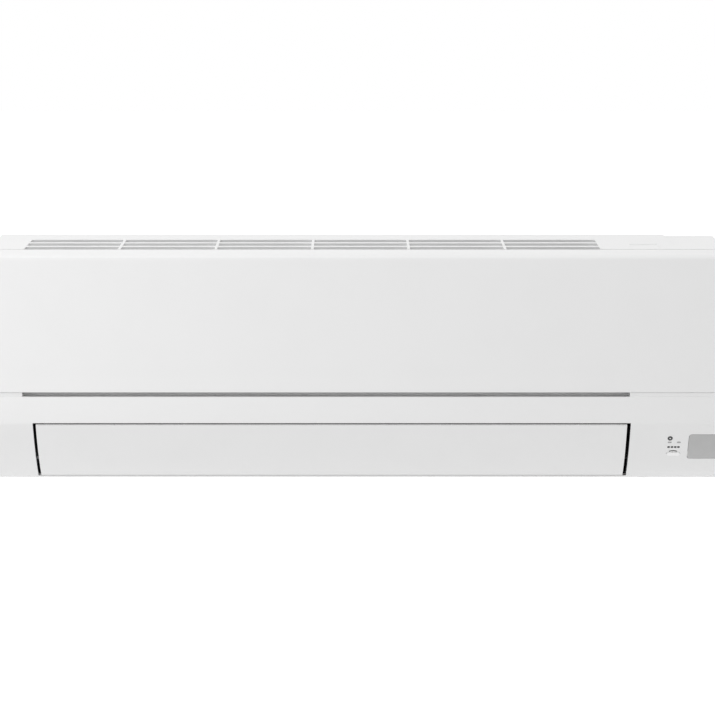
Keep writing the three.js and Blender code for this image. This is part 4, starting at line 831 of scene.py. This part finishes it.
foam = closed_cell_foam()
(foot_out, foot_up), (head_out, head_up) = STRIP_FOOT, STRIP_HEAD
for name, sizes in STRIPS.items():
    near = sizes["gap"]
    far = near + sizes["thickness"]
    corners = (
        (foot_out + near, foot_up),
        (foot_out + far, foot_up),
        (head_out + far, head_up),
        (head_out + near, head_up),
    )
    strip = bmesh.new()
    plate_along(strip, corners, sizes["x"], sizes["length"])
    bmesh.ops.recalc_face_normals(strip, faces=strip.faces)
    soften(new_piece(name, strip, "chassis", foam), 0.3)

# Painted shade: the duct and the parts in its mouth are drawn dark grey to stand for the deep
# shade there.
dress("outlet_duct", dark_plastic_and_painted_shade, 0.3)
for index in range(1, 11):
    dress(f"louvre_{index}", dark_plastic_and_painted_shade, 0.3)
for name in ("tie_bar_left", "tie_bar_right", "vane_bush"):
    dress(name, dark_plastic_and_painted_shade, 0.2)

# ---------------------------------------------------------------- electrical box
# A folded zinc plated box with a lid, which holds the lacquered control board, the terminal
# block for the mains and the smoothing capacitor in its plastic sleeve.


def lacquered_board():
    # Circuit board: green solder resist over etched copper tracks, which show as paler lines.
    material, tree, shader, place = new_finish("lacquered_circuit_board", IOR=1.5)
    tracks = add(
        tree,
        "ShaderNodeTexBrick",
        {
            "Vector": place,
            "Color1": linear("#2c6a44"),
            "Color2": linear("#27603d"),
            "Mortar": linear("#4b8a5c"),
            "Scale": per_metre(16.0),
            "Mortar Size": 0.05,
        },
    )
    surface(
        tree,
        shader,
        colour=(tracks.outputs["Color"],),
        gloss=(tracks.outputs["Fac"], 0.28, 0.36),
        relief=(tracks.outputs["Fac"], 0.3, 0.00003),
    )
    return material


def shrink_sleeve():
    # Capacitor sleeve: thin glossy dark blue film, shrunk tight, with faint wrinkles.
    material, tree, shader, place = new_finish("shrunk_blue_sleeve", IOR=1.5)
    wrinkles = add(
        tree, "ShaderNodeTexNoise", {"Vector": place, "Scale": per_metre(6.0), "Detail": 2.0}
    )
    surface(
        tree,
        shader,
        colour=(wrinkles.outputs["Fac"], "#1d2a45", "#233252", "#2a3b5e"),
        gloss=(wrinkles.outputs["Fac"], 0.2, 0.3),
        relief=(wrinkles.outputs["Fac"], 0.2, 0.0001),
    )
    return material


board_lacquer = lacquered_board()
dress("electrical_box", zinc_plate, 0.3)
dress("electrical_cover", zinc_plate, 0.3)
dress("control_board", board_lacquer, 0.3)
dress("display_board", board_lacquer, 0.2)
dress("main_capacitor", shrink_sleeve(), 0.8)
dress("terminal_block", dark_plastic_and_painted_shade, 0.3)

# ---------------------------------------------------------------- air filters
# Two curved frames slide in behind the front panel. Each is moulded in polypropylene round a
# fine woven net. Its threads are about 1 mm apart, and are drawn 2.5 mm apart so that they show.

FILTER_OUT = 61.4
FILTER_RADIUS = 150.0
FILTER_THICKNESS = 1.6
FILTER_BOTTOM = -4.0
FILTER_TOP = 74.0
FILTER_EDGES = {"air_filter_left": (-372.1, -50.15), "air_filter_right": (-44.15, 278.8)}
BORDER = 7.0
RIB = 3.0
CELLS = 3
STRAND = 0.4
STRAND_PITCH = 2.5
TAB_HALF = 16.0
TAB_DROP = 3.0
ARC_STEPS = 26
WARP_STEPS = 12
BAR_INSET = 0.1
TAB_INSET = 0.2
NET_MARGIN = 3.0
WARP_MARGIN = 4.0
NET_TURN = 1.0

filter_centre = at(0, FILTER_OUT, FAN_UP)


def on_arc(x, radius, degrees):
    """A place on the filters' arc, at an angle above the horizontal."""
    angle = math.radians(degrees)
    return at(x, FILTER_OUT + radius * math.cos(angle), FAN_UP + radius * math.sin(angle))


def arc_bar(shape, left, right, inner, outer, start, end, steps):
    """Adds a bar that follows the arc, spun from its rectangular section."""
    corners = ((left, inner), (right, inner), (right, outer), (left, outer))
    rim = [shape.verts.new(on_arc(x, radius, start)) for x, radius in corners]
    section = shape.faces.new(rim)
    bmesh.ops.spin(
        shape,
        geom=[section],
        cent=filter_centre,
        axis=-ALONG_UNIT,
        angle=math.radians(end - start),
        steps=steps,
    )


def woven_net():
    # Net: fine pale grey polypropylene threads with a faint sheen.
    material, tree, shader, place = new_finish("woven_polypropylene_net", IOR=1.49)
    weave = add(
        tree, "ShaderNodeTexNoise", {"Vector": place, "Scale": per_metre(1.5), "Detail": 2.0}
    )
    surface(
        tree,
        shader,
        colour=(weave.outputs["Fac"], "#c3c7c9", "#d0d3d5", "#dadcdd"),
        gloss=(weave.outputs["Fac"], 0.45, 0.6),
    )
    return material


filter_plastic = moulded_plastic(
    "pale_moulded_polypropylene", ("#c6c9ca", "#cccfd0", "#d1d3d4"), 0.5, 0.5, 0.00004
)
net_thread = woven_net()
inner = FILTER_RADIUS - FILTER_THICKNESS / 2
outer = FILTER_RADIUS + FILTER_THICKNESS / 2
border_turn = math.degrees(BORDER / FILTER_RADIUS)
rib_turn = math.degrees(RIB / FILTER_RADIUS)
strand_turn = math.degrees(STRAND / FILTER_RADIUS)
pitch_turn = math.degrees(STRAND_PITCH / FILTER_RADIUS)
for name, (left, right) in FILTER_EDGES.items():
    bars = bmesh.new()
    cell = (right - left - 2 * BORDER - (CELLS - 1) * RIB) / CELLS
    uprights = [(left, left + BORDER), (right - BORDER, right)]
    for column in range(1, CELLS):
        start = left + BORDER + column * cell + (column - 1) * RIB
        uprights.append((start, start + RIB))
    for start, end in uprights:
        arc_bar(bars, start, end, inner, outer, FILTER_BOTTOM, FILTER_TOP, ARC_STEPS)
    levels = [
        (FILTER_BOTTOM, FILTER_BOTTOM + border_turn),
        (FILTER_TOP - border_turn, FILTER_TOP),
    ]
    sweep = (FILTER_TOP - FILTER_BOTTOM) / CELLS
    for row in range(1, CELLS):
        middle = FILTER_BOTTOM + row * sweep
        levels.append((middle - rib_turn / 2, middle + rib_turn / 2))
    for start, end in levels:
        arc_bar(
            bars, left + 1, right - 1, inner + BAR_INSET, outer - BAR_INSET, start, end, 2
        )
    middle = (left + right) / 2
    arc_bar(
        bars,
        middle - TAB_HALF,
        middle + TAB_HALF,
        inner + TAB_INSET,
        outer - TAB_INSET,
        FILTER_BOTTOM - TAB_DROP,
        FILTER_BOTTOM + NET_TURN,
        2,
    )
    bmesh.ops.recalc_face_normals(bars, faces=bars.faces)
    filter_frame = new_piece(name + "_frame", bars, name, filter_plastic)
    soften(filter_frame, 0.3)
    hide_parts(name)

    weft = bmesh.new()
    arc_bar(
        weft,
        left + NET_MARGIN,
        right - NET_MARGIN,
        FILTER_RADIUS - STRAND / 2,
        FILTER_RADIUS + STRAND / 2,
        FILTER_BOTTOM + NET_TURN,
        FILTER_BOTTOM + NET_TURN + strand_turn,
        1,
    )
    bmesh.ops.recalc_face_normals(weft, faces=weft.faces)
    rows = int((FILTER_TOP - FILTER_BOTTOM - 2 * NET_TURN) / pitch_turn)
    bmesh.ops.spin(
        weft,
        geom=weft.verts[:] + weft.edges[:] + weft.faces[:],
        cent=filter_centre,
        axis=-ALONG_UNIT,
        angle=math.radians(pitch_turn * rows),
        steps=rows,
        use_duplicate=True,
    )
    new_piece(name + "_weft", weft, name, net_thread)

    warp = bmesh.new()
    arc_bar(
        warp,
        left + WARP_MARGIN,
        left + WARP_MARGIN + STRAND,
        FILTER_RADIUS - STRAND / 2,
        FILTER_RADIUS + STRAND / 2,
        FILTER_BOTTOM + NET_TURN,
        FILTER_TOP - NET_TURN,
        WARP_STEPS,
    )
    bmesh.ops.recalc_face_normals(warp, faces=warp.faces)
    warp_threads = new_piece(name + "_warp", warp, name, net_thread)
    spread = warp_threads.modifiers.new("spread", "ARRAY")
    spread.count = int((right - left - 2 * WARP_MARGIN) / STRAND_PITCH) + 1
    spread.use_relative_offset = False
    spread.use_constant_offset = True
    spread.constant_offset_displace = (STRAND_PITCH / 1000.0, 0, 0)

# ---------------------------------------------------------------- casing, flap and front panel
# The white outer mouldings are satin ABS from a finely eroded tool. The panel hangs on two
# pins under the roof, and the flap turns on a bush and a blackened shaft from its geared motor.


def blackened_steel():
    # Flap shaft: steel with an oiled black oxide skin, dull and almost black, worn a little paler.
    material, tree, shader, place = new_finish("black_oxide_steel", Metallic=1.0)
    skin = add(
        tree, "ShaderNodeTexNoise", {"Vector": place, "Scale": per_metre(2.0), "Detail": 3.0}
    )
    surface(
        tree,
        shader,
        colour=(skin.outputs["Fac"], "#1c1d1e", "#242526", "#303132"),
        gloss=(skin.outputs["Fac"], 0.45, 0.6),
    )
    return material


dress("front_casing", satin_white, 0.5)
dress("front_panel", satin_white, 0.6)
dress("horizontal_vane", satin_white, 0.6)
dress("vane_motor", zinc_plate, 0.4)
dress("vane_drive_shaft", blackened_steel(), 0.2)
for name in ("casing_screw_left", "casing_screw_right"):
    dress(name, zinc_plate, 0.2)

# ---------------------------------------------------------------- display corner
# The remote control's receiver sits behind a smoked lens, beside the white button for use
# without the remote control and the small grey marks that are printed on the casing. The dark
# arc above the button is painted shadow, where the top of the button's recess casts shade.

SLOPE_FOOT = (156.0, 15.2)
SLOPE_TURN = math.radians(45.0)
INK = 0.12
RING_PLACE = (353.0, 79.3)
RING_RADIUS = 1.9
RING_WIDTH = 2.1
RING_STRETCH = 1.25
LAMP_PLACES = ((352.9, 72.6), (363.2, 72.6))
LAMP_SIZE = (4.4, 2.8)
MARK_ROW = 64.4
MARK_PLACES = (352.2, 356.0, 359.7, 363.3)
MARK_SIZE = (2.9, 3.1)
# Painted shadow: the arch is a dark arc of ink where the top of the button's recess casts shade.
SHADOW_ARCH_PLACE = (357.6, 57.9)
SHADOW_ARCH_RADIUS = 8.0
SHADOW_ARCH_WIDTH = 1.7
SHADOW_ARCH_HALF_ANGLE = 33
RING_STEPS = 24
SHADOW_ARCH_STEPS = 10
RAY_START = 30.0


def smoked_lens():
    # Lens: grey translucent acrylic with a polished face, slightly cloudy within.
    material, tree, shader, place = new_finish("smoked_acrylic", IOR=1.49)
    haze = add(
        tree, "ShaderNodeTexNoise", {"Vector": place, "Scale": per_metre(12.0), "Detail": 2.0}
    )
    surface(
        tree,
        shader,
        colour=(haze.outputs["Fac"], "#b4b4b4", "#b8b8b8", "#bcbcbc"),
        gloss=(haze.outputs["Fac"], 0.12, 0.18),
    )
    return material


def printed_ink(name, *hex_colours):
    # Pad printed ink: thin and dull, a little uneven in cover.
    material, tree, shader, place = new_finish(name, IOR=1.5)
    cover = add(
        tree, "ShaderNodeTexNoise", {"Vector": place, "Scale": per_metre(0.8), "Detail": 2.0}
    )
    surface(
        tree,
        shader,
        colour=(cover.outputs["Fac"], *hex_colours),
        gloss=(cover.outputs["Fac"], 0.5, 0.62),
    )
    return material


def laid_on_slope(shape, verts, x, along):
    """Moves verts, drawn flat about the origin, to a place on the casing's slope."""
    outward = Vector((0, -math.sin(SLOPE_TURN), -math.cos(SLOPE_TURN)))
    foot = at(x, *SLOPE_FOOT)
    chord = foot + Vector((0, -math.cos(SLOPE_TURN), math.sin(SLOPE_TURN))) * along / 1000.0
    start = chord + outward * RAY_START / 1000.0
    place, normal = nodes["front_casing"].ray_cast(start, -outward)[1:3]
    up_slope = normal.cross(ALONG_UNIT).normalized()
    turn = Matrix((ALONG_UNIT, up_slope, normal)).transposed().to_4x4()
    bmesh.ops.transform(shape, matrix=Matrix.Translation(place) @ turn, verts=verts)


def inked(shape, face):
    """Gives a flat mark the thickness of its ink and returns its vertices."""
    pulled = bmesh.ops.extrude_face_region(shape, geom=[face])
    top = corners_of(pulled)
    bmesh.ops.translate(shape, verts=top, vec=(0, 0, INK / 1000.0))
    verts = top + list(face.verts)
    bmesh.ops.translate(shape, verts=verts, vec=(0, 0, -INK / 2000.0))
    return verts


dress("receiver_window", smoked_lens(), 0.3)
bright_white = moulded_plastic(
    "bright_white_abs", ("#fafafa", "#fcfcfc", "#fdfdfd"), 0.3, 0.35, 0.00001
)
dress("emergency_button", bright_white, 0.5)
bpy.context.view_layer.update()

# Dark ink marks: the printed ring and blocks, and the arch above the button, which is painted
# shadow.
dark_marks_and_painted_shadow = bmesh.new()
pale_marks = bmesh.new()


def flat_arc(shape, radius, width, start, end, steps, place, crown=0.0, stretch=1.0):
    """Adds a thin curved strip of ink, spun from the line across it, with its crown's height at
    the place. It draws the printed ring and the painted shadow arch above the button.
    """
    angle = math.radians(start)
    ray = Vector((math.cos(angle), math.sin(angle), 0)) / 1000.0
    line = [shape.verts.new(ray * (radius + side * width / 2)) for side in (-1, 1)]
    edge = shape.edges.new(line)
    bmesh.ops.spin(
        shape,
        geom=[edge],
        cent=(0, 0, 0),
        axis=(0, 0, 1),
        angle=math.radians(end - start),
        steps=steps,
        use_merge=end - start == 360,
    )
    faces = list({face for vert in line for face in vert.link_faces})
    grown = set(faces)
    while faces:
        near = {other for face in faces for edge in face.edges for other in edge.link_faces}
        faces = list(near - grown)
        grown |= near
    pulled = bmesh.ops.extrude_face_region(shape, geom=list(grown), use_keep_orig=True)
    bmesh.ops.translate(shape, verts=corners_of(pulled), vec=(0, 0, INK / 1000.0))
    verts = list({vert for face in grown for vert in face.verts}) + corners_of(pulled)
    bmesh.ops.translate(shape, verts=verts, vec=(0, -crown / 1000.0, -INK / 2000.0))
    bmesh.ops.scale(shape, vec=(1.0, stretch, 1.0), verts=verts)
    laid_on_slope(shape, verts, *place)


def printed_block(shape, size, place):
    """Adds a small rounded rectangle."""
    square = bmesh.ops.create_grid(shape, x_segments=1, y_segments=1, size=0.5)["verts"]
    bmesh.ops.scale(shape, vec=(size[0] / 1000.0, size[1] / 1000.0, 1), verts=square)
    rounded = bmesh.ops.bevel(
        shape,
        geom=square,
        offset=min(size) / 3000.0,
        affect="VERTICES",
        segments=3,
        profile=0.5,
        material=-1,
    )
    face = max(rounded["verts"][0].link_faces, key=lambda item: len(item.verts))
    laid_on_slope(shape, inked(shape, face), *place)


flat_arc(
    dark_marks_and_painted_shadow, RING_RADIUS, RING_WIDTH, 0, 360, RING_STEPS, RING_PLACE, stretch=RING_STRETCH
)
# Painted shadow: a dark arc above the button, standing for the shade under the top of its recess.
flat_arc(
    dark_marks_and_painted_shadow,
    SHADOW_ARCH_RADIUS,
    SHADOW_ARCH_WIDTH,
    90 - SHADOW_ARCH_HALF_ANGLE,
    90 + SHADOW_ARCH_HALF_ANGLE,
    SHADOW_ARCH_STEPS,
    SHADOW_ARCH_PLACE,
    SHADOW_ARCH_RADIUS,
)
for x in MARK_PLACES:
    printed_block(dark_marks_and_painted_shadow, MARK_SIZE, (x, MARK_ROW))
for place in LAMP_PLACES:
    printed_block(pale_marks, LAMP_SIZE, place)
# The dark marks are print, except the arch above the button, which is painted shadow.
for name, shape, finish in (
    ("printed_marks_and_painted_shadow", dark_marks_and_painted_shadow, printed_ink("dark_grey_ink_and_painted_shadow", "#232425", "#292a2b", "#303132")),
    ("lamp_windows", pale_marks, printed_ink("pale_grey_ink", "#aaaaaa", "#b0b0b0", "#b5b5b5")),
):
    bmesh.ops.recalc_face_normals(shape, faces=shape.faces)
    new_piece(name, shape, "chassis", finish)
